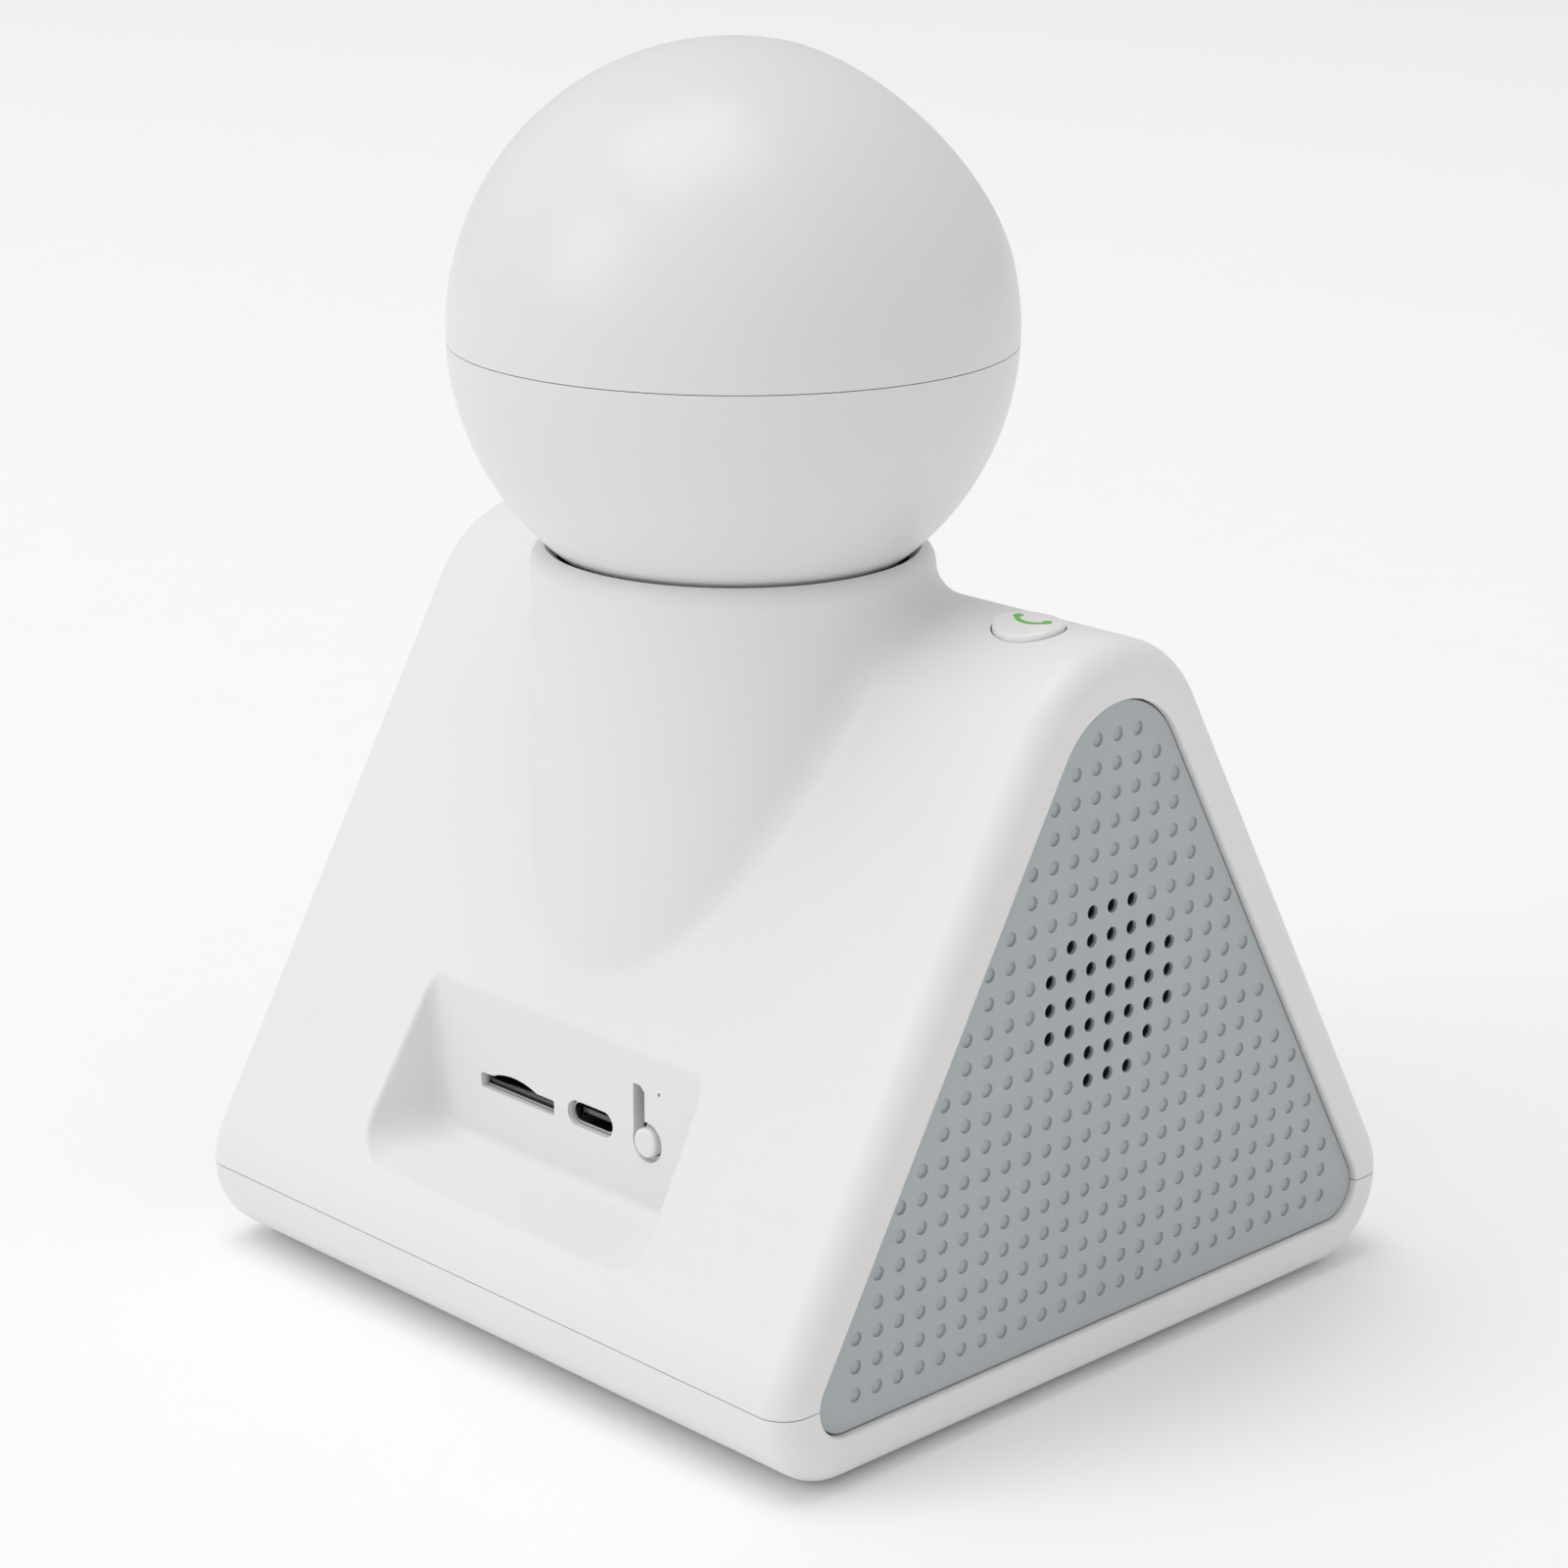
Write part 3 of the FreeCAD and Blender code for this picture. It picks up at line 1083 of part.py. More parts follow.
def yoke_post():
    foot = rod(POST_FOOT_RADIUS, POST_FOOT_THICKNESS, Vector(0, HEAD_Y, TURNTABLE_TOP))
    stem = box(-POST_HALF_X, POST_HALF_X, HEAD_Y - POST_HALF_Y, HEAD_Y + POST_HALF_Y, TURNTABLE_TOP, HEAD_Z)
    knuckle = rod(POST_TOP_RADIUS, 2 * POST_HALF_X, HEAD_CENTRE - RIGHT * POST_HALF_X, RIGHT)
    shaft = tilt_shaft()
    plate_x = motor_plate_x()
    disc = rod(TILT_MOTOR_RADIUS, 1.0, Vector(plate_x - 1.0, shaft.y, shaft.z), RIGHT)
    web_half = TILT_MOTOR_RADIUS * 0.8
    web = box(plate_x - 1.0, plate_x, HEAD_Y, shaft.y, shaft.z - web_half, shaft.z + web_half)
    axle_hole = rod(AXLE_RADIUS + SHAFT_FIT, 4 * POST_HALF_X, HEAD_CENTRE - RIGHT * 2 * POST_HALF_X, RIGHT)
    shaft_hole = rod(MOTOR_SHAFT_RADIUS + 0.6, 6.0, Vector(plate_x - 3.0, shaft.y, shaft.z), RIGHT)
    cable_way = rod(CABLE_BORE, HEAD_Z - 20.0 - TURNTABLE_TOP, Vector(0, HEAD_Y, TURNTABLE_TOP))
    cable_exit = rod(CABLE_BORE, 10.0, Vector(0, HEAD_Y - 10.0, HEAD_Z - 20.0 - CABLE_BORE), BACK)
    whole = joined([foot, stem, knuckle, disc, web])
    return whole.cut([axle_hole, shaft_hole, cable_way, cable_exit])


def tilt_motor():
    shaft = tilt_shaft()
    clear = box(-POST_HALF_X - 1, POST_HALF_X + 1, HEAD_Y - POST_HALF_Y, HEAD_Y + POST_HALF_Y + 0.1,
                TURNTABLE_TOP, HEAD_Z + POST_TOP_RADIUS)
    can = rod(TILT_MOTOR_RADIUS, TILT_MOTOR_LENGTH, Vector(motor_plate_x(), shaft.y, shaft.z), RIGHT)
    knuckle = rod(POST_TOP_RADIUS + 0.1, 4 * POST_HALF_X, HEAD_CENTRE - RIGHT * 2 * POST_HALF_X, RIGHT)
    return can.cut([clear, knuckle])


def tilt_pinion():
    """The tilt pinion with its shaft, about the local Z axis laid along -X."""
    toward_gear = 180.0 + TILT_MOTOR_ANGLE
    teeth = gear(PINION_TEETH, GEAR_WIDTH - 0.6, PINION_HUB, toward_gear + 180.0 / PINION_TEETH)
    lay_down(teeth, -TILT_GEAR_X - GEAR_WIDTH + 0.3, tilt_shaft())
    start_x = motor_plate_x() - JOIN_GAP
    end_x = -TILT_GEAR_X - GEAR_WIDTH + 0.6
    shaft = tilt_shaft()
    stub = rod(MOTOR_SHAFT_RADIUS, start_x - end_x, Vector(end_x, shaft.y, shaft.z), RIGHT)
    return teeth.fuse(stub)


def lay_down(shape, x, centre):
    """Turns local X, Y, Z into row Y, Z, X and sets the shape at x on the line through centre."""
    turn = Matrix(0, 0, 1, x, 1, 0, 0, centre.y, 0, 1, 0, centre.z, 0, 0, 0, 1)
    shape.Placement = Placement(turn).multiply(shape.Placement)
    return shape


def tilt_gear():
    bore = AXLE_RADIUS + PRESS_FIT
    wheel = gear(TILT_TEETH, GEAR_WIDTH, bore, TILT_MOTOR_ANGLE)
    hub = tube(EAR_HALF_HEIGHT, bore, JOIN_GAP, Vector(0, 0, GEAR_WIDTH))
    return lay_down(wheel.fuse(hub), -TILT_GEAR_X - GEAR_WIDTH, HEAD_CENTRE)


def pie_slice(start, end, radius, half_width):
    """A slice about the tilt axis; angles run from straight down toward the back of the ball."""
    def at(angle):
        turn = math.radians(angle)
        return HEAD_CENTRE + Vector(-half_width, radius * math.sin(turn), -radius * math.cos(turn))
    hub = HEAD_CENTRE - RIGHT * half_width
    rim = Part.Arc(at(start), at((start + end) / 2), at(end)).toShape()
    edges = [Part.makeLine(hub, at(start)), rim, Part.makeLine(at(end), hub)]
    return Part.Face(Part.Wire(edges)).extrude(Vector(2 * half_width, 0, 0))


def slot_shield():
    """A curved shutter around the yoke's post that closes the ball's slot from inside at every tilt."""
    outer = HEAD_RADIUS - HEAD_WALL - SHIELD_GAP
    band = Part.makeSphere(outer, HEAD_CENTRE).cut(Part.makeSphere(outer - SHIELD_THICKNESS, HEAD_CENTRE))
    strip = band.common(pie_slice(-SHIELD_END, SHIELD_END, HEAD_RADIUS, SHIELD_HALF_WIDTH))
    tab_low = HEAD_Z - outer + SHIELD_THICKNESS / 2
    tab_y = POST_HALF_Y + SHIELD_TAB
    tab_high = tab_low + SHIELD_TAB_HEIGHT
    collar = box(-POST_HALF_X, POST_HALF_X, HEAD_Y - tab_y, HEAD_Y + tab_y, tab_low, tab_high)
    post = box(-POST_HALF_X, POST_HALF_X, HEAD_Y - POST_HALF_Y, HEAD_Y + POST_HALF_Y,
               tab_low - HEAD_WALL, HEAD_Z)
    return strip.fuse(collar).cut(post)


# ---- ball head ----------------------------------------------------------------------------
def flat_faced_ball(radius, face_distance, edge_round):
    ball = Part.makeSphere(radius, HEAD_CENTRE)
    block = box(-radius * 2, radius * 2, -radius * 2, radius * 2, 0, radius * 2)
    on_lens_axis(block, face_distance)
    ball = ball.cut(block)
    if edge_round:
        flat_ring = math.sqrt(radius ** 2 - face_distance ** 2)
        rim = [e for e in ball.Edges if abs(e.Length - 2 * math.pi * flat_ring) < 0.5
               and abs((e.CenterOfMass - HEAD_CENTRE).dot(LENS_AXIS) - face_distance) < 0.1]
        ball = ball.makeFillet(edge_round, rim)
    return ball


def head_shell():
    outer = flat_faced_ball(HEAD_RADIUS, FACE_DISTANCE, FACE_EDGE_ROUND)
    inner = flat_faced_ball(HEAD_RADIUS - HEAD_WALL, FACE_DISTANCE - FACE_WALL, 0)
    seat = rod(LENS_WINDOW_RADIUS + LENS_WINDOW_GAP, LENS_WINDOW_THICKNESS + 5.0, Vector(0, 0, 0))
    on_lens_axis(seat, FACE_DISTANCE - LENS_WINDOW_THICKNESS)
    opening = rod(FACE_OPENING_RADIUS, FACE_WALL * 3, Vector(0, 0, 0))
    on_lens_axis(opening, FACE_DISTANCE - FACE_WALL * 2)
    return outer.cut([inner, seat, opening])


def seam_split(shell, above):
    seam_z = HEAD_Z - HEAD_SEAM_DROP
    reach = HEAD_RADIUS * 1.5
    low = seam_z + HEAD_SEAM_GAP / 2 if above else HEAD_Z - reach
    high = HEAD_Z + reach if above else seam_z - HEAD_SEAM_GAP / 2
    return shell.common(box(-reach, reach, HEAD_Y - reach, HEAD_Y + reach, low, high))


def column_places():
    return [(side * HEAD_COLUMN_X, HEAD_Y + HEAD_COLUMN_Y) for side in (-1, 1)]


def head_upper_shell(shell):
    upper = seam_split(shell, True)
    inner_ball = Part.makeSphere(HEAD_RADIUS - HEAD_WALL / 2, HEAD_CENTRE)
    seam_z = HEAD_Z - HEAD_SEAM_DROP + HEAD_SEAM_GAP / 2
    posts = []
    holes = []
    for x, y in column_places():
        column = rod(HEAD_COLUMN_RADIUS, HEAD_RADIUS, Vector(x, y, seam_z))
        posts.append(column.common(inner_ball))
        holes.append(screw_hole(Vector(x, y, seam_z), 8.0))
    plate_front = FRAME_DISTANCE + FRAME_THICKNESS
    for quarter in range(4):
        angle = math.radians(45 + 90 * quarter)
        x = FACE_POST_RING * math.cos(angle)
        y = FACE_POST_RING * math.sin(angle)
        length = FACE_DISTANCE - FACE_WALL - plate_front
        post = rod(FACE_POST_RADIUS, length + 0.5, Vector(x, y, 0))
        hole = screw_hole(Vector(x, y, 0), length - 2.0)
        posts.append(on_lens_axis(post, plate_front))
        holes.append(on_lens_axis(hole, plate_front))
    return upper.fuse(posts).cut(holes)


def head_lower_shell(shell):
    lower = seam_split(shell, False)
    inner_ball = Part.makeSphere(HEAD_RADIUS - HEAD_WALL / 2, HEAD_CENTRE)
    seam_z = HEAD_Z - HEAD_SEAM_DROP - HEAD_SEAM_GAP / 2
    head_z = HEAD_Z - HEAD_RADIUS + 10.0
    posts = []
    holes = []
    for x, y in column_places():
        base = Vector(x, y, HEAD_Z - HEAD_RADIUS)
        column = rod(HEAD_COLUMN_RADIUS + 0.8, seam_z - base.z, base)
        posts.append(column.common(inner_ball))
        holes.append(rod(SCREW_HEAD_RADIUS + 0.3, head_z - base.z, base))
        holes.append(screw_hole(base, seam_z - base.z))
    post_angle = math.degrees(math.asin(POST_HALF_Y / (HEAD_RADIUS - HEAD_WALL)))
    gap_angle = math.degrees(SLOT_CLEARANCE / HEAD_RADIUS)
    slot = pie_slice(-TILT_DOWN - post_angle - gap_angle, TILT_UP + post_angle + gap_angle,
                     HEAD_RADIUS * 1.2, POST_HALF_X + SLOT_CLEARANCE)
    return lower.fuse(posts).cut(holes + [slot])


def head_screws():
    head_z = HEAD_Z - HEAD_RADIUS + 10.0 - SCREW_HEAD_HEIGHT
    length = HEAD_Z - HEAD_SEAM_DROP + 7.0 - head_z
    return Part.makeCompound([screw(Vector(x, y, head_z), length, UP) for x, y in column_places()])


def head_frame():
    """The chassis: a disc behind the camera board and two ears that hold the tilt axle."""
    disc = rod(FRAME_RADIUS, FRAME_THICKNESS, Vector(0, 0, 0))
    ears = []
    for side in (-1, 1):
        low = EAR_INNER_X if side > 0 else -EAR_OUTER_X
        ears.append(box(low, low + EAR_THICKNESS, -EAR_HALF_HEIGHT, EAR_HALF_HEIGHT, -FRAME_DISTANCE, 0.5))
        ears.append(rod(EAR_HALF_HEIGHT, EAR_THICKNESS, Vector(low, 0, -FRAME_DISTANCE), RIGHT))
    holes = [rod(CABLE_BORE * 1.5, FRAME_THICKNESS, Vector(0, 0, 0))]
    for quarter in range(4):
        angle = math.radians(45 + 90 * quarter)
        place = Vector(FACE_POST_RING * math.cos(angle), FACE_POST_RING * math.sin(angle), 0)
        holes.append(screw_hole(place, FRAME_THICKNESS))
    axle_base = Vector(-2 * EAR_OUTER_X, 0, -FRAME_DISTANCE)
    holes.append(rod(AXLE_RADIUS + PRESS_FIT, 4 * EAR_OUTER_X, axle_base, RIGHT))
    return on_lens_axis(joined([disc] + ears).cut(holes), FRAME_DISTANCE)


def frame_screws():
    screws = []
    for quarter in range(4):
        angle = math.radians(45 + 90 * quarter)
        place = Vector(FACE_POST_RING * math.cos(angle), FACE_POST_RING * math.sin(angle), -SCREW_HEAD_HEIGHT)
        screws.append(screw(place, 7.0, UP))
    return on_lens_axis(Part.makeCompound(screws), FRAME_DISTANCE)


def tilt_axle():
    start = HEAD_CENTRE - RIGHT * (EAR_OUTER_X + GEAR_WIDTH)
    return rod(AXLE_RADIUS, EAR_OUTER_X * 2 + GEAR_WIDTH, start, RIGHT)


def camera_board():
    board = rod(CAMERA_BOARD_RADIUS, BOARD_THICKNESS, Vector(0, 0, 0))
    return on_lens_axis(board, FRAME_DISTANCE + FRAME_THICKNESS)


def camera_front():
    return FRAME_DISTANCE + FRAME_THICKNESS + BOARD_THICKNESS


def lens_barrel():
    length = FACE_DISTANCE - 0.3 - camera_front()
    barrel = rod(BARREL_RADIUS, length, Vector(0, 0, 0))
    rim = [e for e in barrel.Edges if abs(e.BoundBox.ZMin - length) < 0.01]
    barrel = barrel.makeChamfer(0.4, rim)
    bore = rod(BARREL_BORE, 5.0, Vector(0, 0, length - 5.0))
    return on_lens_axis(barrel.cut(bore), camera_front())


def lens_glass():
    dome_radius = LENS_RADIUS * 1.6
    rise = dome_radius - math.sqrt(dome_radius ** 2 - LENS_RADIUS ** 2)
    dome = Part.makeSphere(dome_radius, Vector(0, 0, rise - dome_radius))
    lens = dome.common(rod(LENS_RADIUS, rise + 1.5, Vector(0, 0, -1.5)))
    return on_lens_axis(lens, FACE_DISTANCE - 0.9 - rise)


def led_places():
    step = 360.0 / LED_COUNT
    return [(LED_RING_RADIUS * math.cos(math.radians(step * (k + 0.5))),
             LED_RING_RADIUS * math.sin(math.radians(step * (k + 0.5)))) for k in range(LED_COUNT)]


def ir_leds():
    length = FACE_DISTANCE - 0.4 - camera_front()
    leds = [rod(LED_RADIUS, length, Vector(x, y, 0)) for x, y in led_places()]
    return on_lens_axis(Part.makeCompound(leds), camera_front())


def lens_window():
    window = rod(LENS_WINDOW_RADIUS, LENS_WINDOW_THICKNESS, Vector(0, 0, 0))
    holes = [rod(BARREL_RADIUS + 0.15, LENS_WINDOW_THICKNESS, Vector(0, 0, 0))]
    holes += [rod(LED_RADIUS + 0.1, LENS_WINDOW_THICKNESS, Vector(x, y, 0)) for x, y in led_places()]
    return on_lens_axis(window.cut(holes), FACE_DISTANCE - LENS_WINDOW_THICKNESS)


# ---- build --------------------------------------------------------------------------------
def save(name, shape):
    """Lifts the piece so that the feet stand on z = 0, checks it and writes its file."""
    lifted = shape.copy()
    lifted.translate(Vector(0, 0, FOOT_PROUD))
    solids = lifted.Solids
    whole = solids[0] if len(solids) == 1 else Part.makeCompound(solids)
    whole.exportStep("parts/" + name + ".step")
    print("%-20s solids %d valid %s volume %.1f" % (name, len(solids), whole.isValid(), whole.Volume))


def main():
    os.makedirs("parts", exist_ok=True)
    body_shell = whole_shell()
    ball_shell = head_shell()
    save("upper_housing", upper_housing(body_shell))
    save("bottom_cover", bottom_cover(body_shell))
    right_grille = grille()
    save("right_grille", right_grille)
    save("left_grille", mirrored_x(right_grille))
    for number, (x, y) in enumerate(foot_places(), 1):
        save("rubber_foot_%d" % number, rubber_foot(x, y))
    save("head_upper_shell", head_upper_shell(ball_shell))
    save("head_lower_shell", head_lower_shell(ball_shell))
    pieces = [
        cover_screws, speaker_frame, speaker_cone, speaker_magnet, speaker_gasket, speaker_screws,
        display_window, display_module, display_bracket, main_board, board_screws, board_chips,
        wireless_shield, usb_c_shell, usb_c_tongue, microsd_socket, microsd_carrier, reset_button,
        reset_switch, microphone, call_button, call_icon, call_board, call_switch, pan_motor,
        motor_screws, pan_pinion, pan_gear, pan_washer, pan_turntable, pan_retaining_ring, yoke_post,
        slot_shield, tilt_motor, tilt_pinion, tilt_gear, tilt_axle, head_frame, frame_screws,
        head_screws, camera_board, lens_barrel, lens_glass, ir_leds, lens_window,
    ]
    for piece in pieces:
        save(piece.__name__, piece())


main()
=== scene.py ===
import json
import math

import bpy
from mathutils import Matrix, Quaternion, Vector


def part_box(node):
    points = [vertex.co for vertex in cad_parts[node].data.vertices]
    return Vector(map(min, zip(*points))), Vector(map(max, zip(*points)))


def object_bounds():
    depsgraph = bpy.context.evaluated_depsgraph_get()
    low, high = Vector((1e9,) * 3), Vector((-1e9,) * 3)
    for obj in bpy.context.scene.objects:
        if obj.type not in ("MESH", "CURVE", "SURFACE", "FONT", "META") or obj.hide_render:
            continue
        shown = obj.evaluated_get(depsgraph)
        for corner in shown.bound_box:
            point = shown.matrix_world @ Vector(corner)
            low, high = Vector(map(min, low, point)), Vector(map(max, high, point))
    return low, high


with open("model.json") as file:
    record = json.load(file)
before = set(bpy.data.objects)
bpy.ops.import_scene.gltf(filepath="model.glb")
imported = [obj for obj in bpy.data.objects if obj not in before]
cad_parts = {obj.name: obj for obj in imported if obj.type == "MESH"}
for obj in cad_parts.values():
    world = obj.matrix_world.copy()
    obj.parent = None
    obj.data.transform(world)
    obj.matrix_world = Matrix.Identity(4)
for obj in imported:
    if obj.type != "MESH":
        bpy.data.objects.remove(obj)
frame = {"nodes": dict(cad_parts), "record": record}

FIRST_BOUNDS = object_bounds()
LOW = Vector(FIRST_BOUNDS[0])
HIGH = Vector(FIRST_BOUNDS[1])
MIDDLE = (LOW + HIGH) / 2
SIZE = HIGH - LOW
MM = 0.001

# ---- sizes and levels -------------------------------------------------------------------------
# painted shade in the grilles' through holes: the depth where it starts, the depth where it is full, and its
# near-black colour
BORE_PAINTED_SHADE_START = 0.42 * MM     # below the grille's face, just deeper than the shallow dimples
BORE_PAINTED_SHADE_END = 0.75 * MM
BORE_PAINTED_SHADE_COLOR = (0.03, 0.032, 0.034, 1.0)
SURROUND_LIGHT = 0.60            # strength of the surround as a light
SURROUND_FACE = 1.0              # strength of the surround as seen
LIGHT_DISTANCE = 5.0             # metres from the middle of the object
FLOOR_REACH = 40                 # in heights of the object
SENSOR_WIDTH = 36.0              # millimetres, as the lens length is
LENS_LENGTH = 91.56
LENS_ROLL = 0.307                # degrees
SIGHT = Vector((0.68431, -0.66621, -0.29647)).normalized()
SIGHT_LENGTH = 3.19              # in heights of the object
TARGET = Vector((MIDDLE.x - 0.32 * MM, MIDDLE.y + 2.78 * MM, LOW.z + 0.4047 * SIZE.z))


# ---- node helpers ---------------------------------------------------------------------------
def add(tree, kind, **settings):
    node = tree.nodes.new(kind)
    for name, value in settings.items():
        setattr(node, name, value)
    return node


def link(tree, source, output, target, socket):
    tree.links.new(source.outputs[output], target.inputs[socket])


def shade(color, factor):
    return tuple(min(1.0, channel * factor) for channel in color[:3]) + (1.0,)


def start_material(name):
    """A new material with its shader on the surface and a set of texture coordinates."""
    material = bpy.data.materials.new(name)
    material.use_nodes = True
    tree = material.node_tree
    tree.nodes.clear()
    output = add(tree, "ShaderNodeOutputMaterial")
    shader = add(tree, "ShaderNodeBsdfPrincipled")
    link(tree, shader, "BSDF", output, "Surface")
    coordinates = add(tree, "ShaderNodeTexCoord")
    return material, tree, shader, coordinates


def noise(tree, coordinates, scale, detail=4.0, roughness=0.55, stretch=None):
    """Cloudy noise in the object's own metres, stretched where a stretch is given."""
    texture = add(tree, "ShaderNodeTexNoise")
    texture.inputs["Scale"].default_value = scale
    texture.inputs["Detail"].default_value = detail
    texture.inputs["Roughness"].default_value = roughness
    if stretch is None:
        link(tree, coordinates, "Object", texture, "Vector")
    else:
        mapping = add(tree, "ShaderNodeMapping")
        mapping.inputs["Scale"].default_value = stretch
        link(tree, coordinates, "Object", mapping, "Vector")
        link(tree, mapping, "Vector", texture, "Vector")
    return texture


def ramp(tree, source, output, low, high, start=0.35, end=0.65):
    """Spreads a 0-to-1 value over two colours."""
    band = add(tree, "ShaderNodeValToRGB")
    band.color_ramp.elements[0].position = start
    band.color_ramp.elements[0].color = low
    band.color_ramp.elements[1].position = end
    band.color_ramp.elements[1].color = high
    link(tree, source, output, band, "Fac")
    return band


def gray(value):
    return (value, value, value, 1.0)


def bump_chain(tree, shader, layers):
    """Stacks height sources on the shader's normal, each as (node, output, strength, distance)."""
    previous = None
    for source, output, strength, distance in layers:
        bump = add(tree, "ShaderNodeBump")
        bump.inputs["Strength"].default_value = strength
        bump.inputs["Distance"].default_value = distance
        link(tree, source, output, bump, "Height")
        if previous is not None:
            link(tree, previous, "Normal", bump, "Normal")
        previous = bump
    link(tree, previous, "Normal", shader, "Normal")


def plastic(name, color, roughness, grain=2200.0, grain_depth=0.00001, mottle=0.02, coat=0.0, glow=0.0):
    """Moulded plastic: a fine spark-eroded grain, a faint mottle and uneven gloss."""
    material, tree, shader, coordinates = start_material(name)
    cloud = noise(tree, coordinates, 28.0, 5.0)
    tint = ramp(tree, cloud, "Fac", shade(color, 1.0 - mottle), shade(color, 1.0 + mottle))
    link(tree, tint, "Color", shader, "Base Color")
    fine = noise(tree, coordinates, grain, 3.0)
    gloss = noise(tree, coordinates, 90.0, 6.0)
    rough = ramp(tree, gloss, "Fac", gray(roughness * 0.93), gray(min(1.0, roughness * 1.07)))
    link(tree, rough, "Color", shader, "Roughness")
    wave = noise(tree, coordinates, 16.0, 2.0)
    bump_chain(tree, shader, [(wave, "Fac", 0.25, 0.00004), (fine, "Fac", 0.6, grain_depth)])
    shader.inputs["IOR"].default_value = 1.46
    shader.inputs["Coat Weight"].default_value = coat
    shader.inputs["Coat Roughness"].default_value = 0.12
    shader.inputs["Subsurface Weight"].default_value = glow
    shader.inputs["Subsurface Radius"].default_value = (0.0016, 0.0013, 0.0011)
    return material


def metal(name, color, roughness, stretch=(1.0, 60.0, 1.0)):
    """Brushed or drawn metal, its scratches run one way."""
    material, tree, shader, coordinates = start_material(name)
    lines = noise(tree, coordinates, 120.0, 8.0, 0.65, stretch)
    tint = ramp(tree, lines, "Fac", shade(color, 0.86), shade(color, 1.08))
    link(tree, tint, "Color", shader, "Base Color")
    rough = ramp(tree, lines, "Fac", gray(roughness * 0.75), gray(min(1.0, roughness * 1.3)))
    link(tree, rough, "Color", shader, "Roughness")
    shader.inputs["Metallic"].default_value = 1.0
    bump_chain(tree, shader, [(lines, "Fac", 0.25, 0.00002)])
    return material


def glass(name, color, roughness, transmission, coat=1.0):
    """Dark coated glass or a clear lens, with a trace of smear in its gloss."""
    material, tree, shader, coordinates = start_material(name)
    cloud = noise(tree, coordinates, 60.0, 3.0)
    tint = ramp(tree, cloud, "Fac", shade(color, 0.9), shade(color, 1.1))
    link(tree, tint, "Color", shader, "Base Color")
    smear = noise(tree, coordinates, 45.0, 6.0, 0.6, (1.0, 2.5, 1.0))
    rough = ramp(tree, smear, "Fac", gray(roughness), gray(roughness * 1.8 + 0.01))
    link(tree, rough, "Color", shader, "Roughness")
    shader.inputs["Transmission Weight"].default_value = transmission
    shader.inputs["IOR"].default_value = 1.5
    shader.inputs["Coat Weight"].default_value = coat
    shader.inputs["Coat Roughness"].default_value = 0.02
    ripple = noise(tree, coordinates, 20.0, 1.0)
    bump_chain(tree, shader, [(ripple, "Fac", 0.1, 0.00001)])
    return material


def circuit(name, color):
    """Solder mask over copper: straight tracks, filled areas and small vias."""
    material, tree, shader, coordinates = start_material(name)
    tracks = add(tree, "ShaderNodeTexBrick")
    tracks.inputs["Scale"].default_value = 260.0
    tracks.inputs["Mortar Size"].default_value = 0.03
    tracks.inputs["Color1"].default_value = shade(color, 0.85)
    tracks.inputs["Color2"].default_value = shade(color, 1.25)
    tracks.inputs["Mortar"].default_value = shade(color, 1.9)
    link(tree, coordinates, "Object", tracks, "Vector")
    dots = add(tree, "ShaderNodeTexVoronoi")
    dots.inputs["Scale"].default_value = 420.0
    link(tree, coordinates, "Object", dots, "Vector")
    spots = ramp(tree, dots, "Distance", gray(1.0), gray(0.0), 0.10, 0.16)
    mix = add(tree, "ShaderNodeMix", data_type="RGBA")
    link(tree, spots, "Color", mix, "Factor")
    link(tree, tracks, "Color", mix, 6)
    mix.inputs[7].default_value = (0.62, 0.50, 0.22, 1.0)
    link(tree, mix, 2, shader, "Base Color")
    shader.inputs["Roughness"].default_value = 0.32
    shader.inputs["Coat Weight"].default_value = 0.3
    bump_chain(tree, shader, [(tracks, "Fac", 0.3, 0.00003)])
    return material


def woven(name, color, roughness):
    """Pressed paper or foam: short fibres and open pores."""
    material, tree, shader, coordinates = start_material(name)
    fibre = noise(tree, coordinates, 700.0, 9.0, 0.7, (1.0, 1.0, 3.0))
    tint = ramp(tree, fibre, "Fac", shade(color, 0.55), shade(color, 1.6))
    link(tree, tint, "Color", shader, "Base Color")
    shader.inputs["Roughness"].default_value = roughness
    pores = add(tree, "ShaderNodeTexVoronoi")
    pores.inputs["Scale"].default_value = 900.0
    link(tree, coordinates, "Object", pores, "Vector")
    bump_chain(tree, shader, [(fibre, "Fac", 0.6, 0.00006), (pores, "Distance", 0.5, 0.00005)])
    return material


def paint_bore_shade(material):
    """Paints shade into the grilles' through holes below the depth of the shallow dimples: the bore walls'
    colour turns near-black there.
    """
    tree = material.node_tree
    shader = next(node for node in tree.nodes if node.type == "BSDF_PRINCIPLED")
    tint = shader.inputs["Base Color"].links[0].from_node
    face_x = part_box("right_grille")[1][0]
    position = add(tree, "ShaderNodeTexCoord")
    axes = add(tree, "ShaderNodeSeparateXYZ")
    link(tree, position, "Object", axes, "Vector")
    side = add(tree, "ShaderNodeMath", operation="ABSOLUTE")
    link(tree, axes, "X", side, "Value")
    depth = add(tree, "ShaderNodeMapRange")
    depth.inputs["From Min"].default_value = face_x - BORE_PAINTED_SHADE_START
    depth.inputs["From Max"].default_value = face_x - BORE_PAINTED_SHADE_END
    link(tree, side, "Value", depth, "Value")
    # painted shade: the bore walls' own colour gives way to near-black as the hole gets deeper
    mix = add(tree, "ShaderNodeMix", data_type="RGBA")
    link(tree, depth, "Result", mix, "Factor")
    link(tree, tint, "Color", mix, 6)
    mix.inputs[7].default_value = BORE_PAINTED_SHADE_COLOR
    link(tree, mix, 2, shader, "Base Color")
    return material


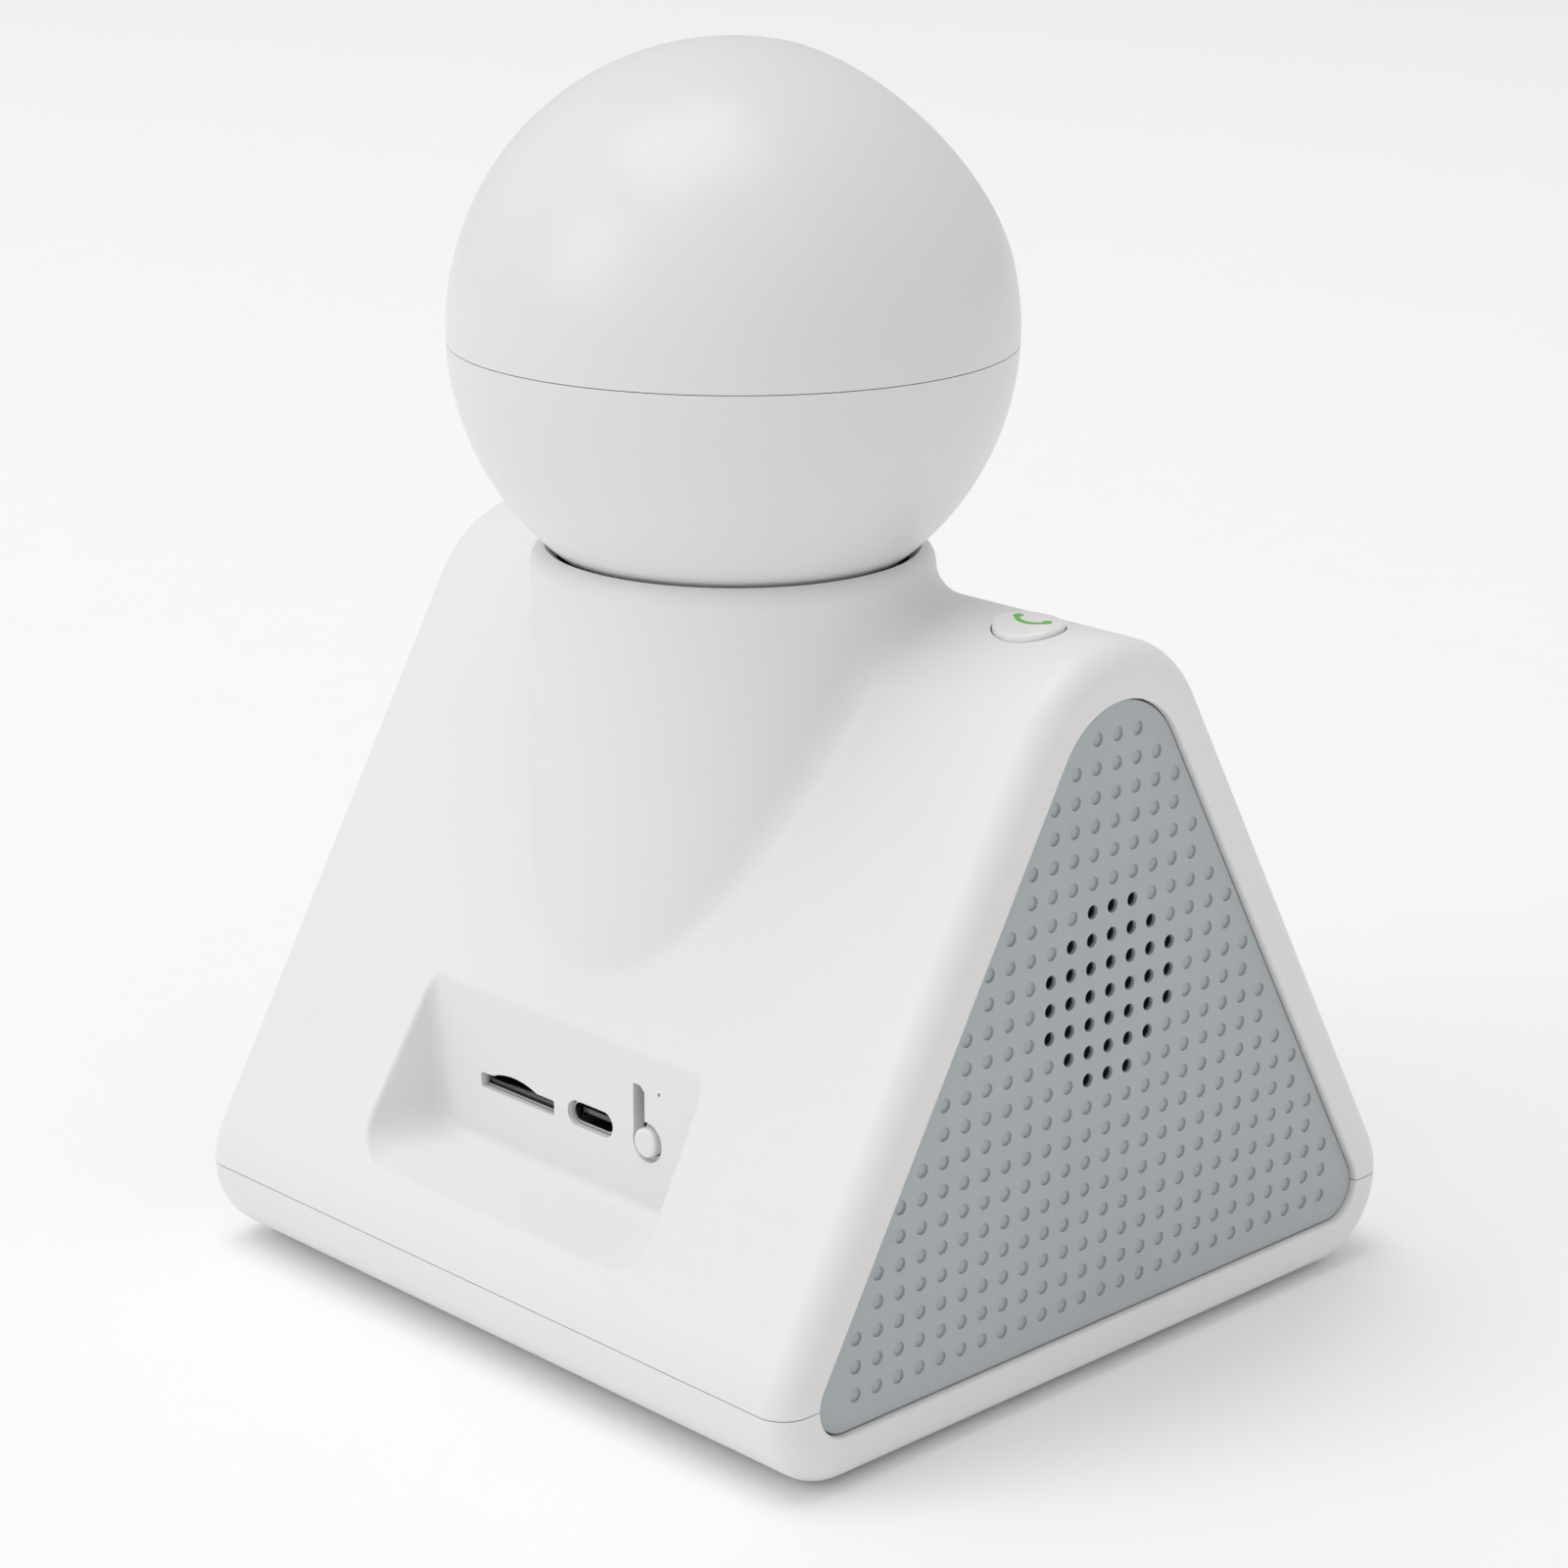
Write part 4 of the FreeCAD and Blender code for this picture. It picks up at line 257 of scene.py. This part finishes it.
# ---- materials by record slot ----------------------------------------------------------------
def slot_materials():
    return {
        "housing_white": plastic("housing_white", (0.82, 0.812, 0.803), 0.42, glow=0.12, mottle=0.006),
        "head_white": plastic("head_white", (0.78, 0.772, 0.765), 0.30, glow=0.12, mottle=0.006),
        # the grey grille, with painted shade in its through holes
        "grille_grey": paint_bore_shade(plastic("grille_grey", (0.44, 0.475, 0.495), 0.55, grain=1600.0,
                                            grain_depth=0.00002, mottle=0.02)),
        "button_white": plastic("button_white", (0.84, 0.84, 0.83), 0.25, coat=0.5, glow=0.12, mottle=0.005),
        "icon_green": plastic("icon_green", (0.13, 0.52, 0.06), 0.35, mottle=0.05),
        "foot_rubber": woven("foot_rubber", (0.03, 0.03, 0.03), 0.85),
        "screw_steel": metal("screw_steel", (0.55, 0.55, 0.56), 0.3),
        "steel": metal("steel", (0.62, 0.62, 0.63), 0.35),
        "socket_metal": metal("socket_metal", (0.70, 0.70, 0.71), 0.2),
        "black_gloss": glass("black_gloss", (0.012, 0.012, 0.014), 0.06, 0.0),
        "display_glass": glass("display_glass", (0.010, 0.010, 0.012), 0.04, 0.0),
        "display_black": plastic("display_black", (0.02, 0.02, 0.022), 0.4),
        "circuit_green": circuit("circuit_green", (0.01, 0.10, 0.05)),
        "chip_black": plastic("chip_black", (0.02, 0.02, 0.02), 0.5),
        "speaker_paper": woven("speaker_paper", (0.012, 0.012, 0.013), 0.8),
        "magnet": metal("magnet", (0.10, 0.10, 0.105), 0.5),
        "gasket_foam": woven("gasket_foam", (0.012, 0.012, 0.012), 0.95),
        "gear_nylon": plastic("gear_nylon", (0.75, 0.74, 0.68), 0.4, glow=0.2),
        "chassis_black": plastic("chassis_black", (0.03, 0.03, 0.033), 0.45),
        "lens_black": metal("lens_black", (0.03, 0.03, 0.03), 0.35),
        "lens_glass": glass("lens_glass", (0.25, 0.24, 0.42), 0.01, 0.6),
        "led_lens": glass("led_lens", (0.08, 0.02, 0.025), 0.08, 0.2),
    }


def dress_frame():
    """Gives every CAD piece the material of its slot in the record."""
    materials = slot_materials()
    for entry in frame["record"]["subparts"]:
        piece = frame["nodes"][entry["node"]]
        piece.data.materials.clear()
        piece.data.materials.append(materials[entry["material_slot"]])


# ---- floor, light and camera -----------------------------------------------------------------
def make_floor():
    """A wide plain white table top, just under the feet."""
    reach = SIZE.z * FLOOR_REACH
    mesh = bpy.data.meshes.new("floor")
    corners = [(-reach, -reach, LOW.z), (reach, -reach, LOW.z), (reach, reach, LOW.z), (-reach, reach, LOW.z)]
    mesh.from_pydata(corners, [], [(0, 1, 2, 3)])
    floor = bpy.data.objects.new("floor", mesh)
    bpy.context.scene.collection.objects.link(floor)
    floor.data.materials.append(plastic("floor_white", (0.985, 0.985, 0.985), 0.9, mottle=0.002))


def softbox(name, azimuth, elevation, width, power):
    """A square white light aimed at the middle of the object; azimuth 0 is on the -Y side."""
    data = bpy.data.lights.new(name, "AREA")
    data.shape = "SQUARE"
    data.size = width
    data.energy = power
    lamp = bpy.data.objects.new(name, data)
    turn = math.radians(azimuth)
    lift = math.radians(elevation)
    toward = Vector((math.sin(turn) * math.cos(lift), -math.cos(turn) * math.cos(lift), math.sin(lift)))
    lamp.location = MIDDLE + toward * LIGHT_DISTANCE
    lamp.rotation_euler = toward.to_track_quat("Z", "Y").to_euler()
    bpy.context.scene.collection.objects.link(lamp)


def make_world():
    """An even white surround: it lights the object gently, and its own face is plain white."""
    world = bpy.data.worlds.new("studio")
    bpy.context.scene.world = world
    world.use_nodes = True
    tree = world.node_tree
    background = tree.nodes["Background"]
    background.inputs["Color"].default_value = (1.0, 1.0, 1.0, 1.0)
    rays = add(tree, "ShaderNodeLightPath")
    strength = add(tree, "ShaderNodeMapRange")
    strength.inputs["To Min"].default_value = SURROUND_LIGHT
    strength.inputs["To Max"].default_value = SURROUND_FACE
    link(tree, rays, "Is Camera Ray", strength, "Value")
    link(tree, strength, "Result", background, "Strength")


def make_light():
    """A large soft light from above and a weaker one from behind, on the side of the ports."""
    softbox("top", 150.0, 76.0, 3.5, 90.0)
    softbox("key", 158.0, 30.0, 2.5, 37.0)
    bpy.context.scene.view_settings.view_transform = "Standard"


def make_camera():
    """A long lens behind and to the left of the object, looking slightly down at it."""
    data = bpy.data.cameras.new("camera")
    data.sensor_width = SENSOR_WIDTH
    data.lens = LENS_LENGTH
    data.clip_start = 0.01
    camera = bpy.data.objects.new("camera", data)
    roll = Quaternion((0.0, 0.0, 1.0), math.radians(LENS_ROLL))
    camera.location = TARGET - SIGHT * (SIZE.z * SIGHT_LENGTH)
    camera.rotation_euler = (SIGHT.to_track_quat("-Z", "Y") @ roll).to_euler()
    bpy.context.scene.collection.objects.link(camera)
    bpy.context.scene.camera = camera


dress_frame()
make_floor()
make_world()
make_light()
make_camera()
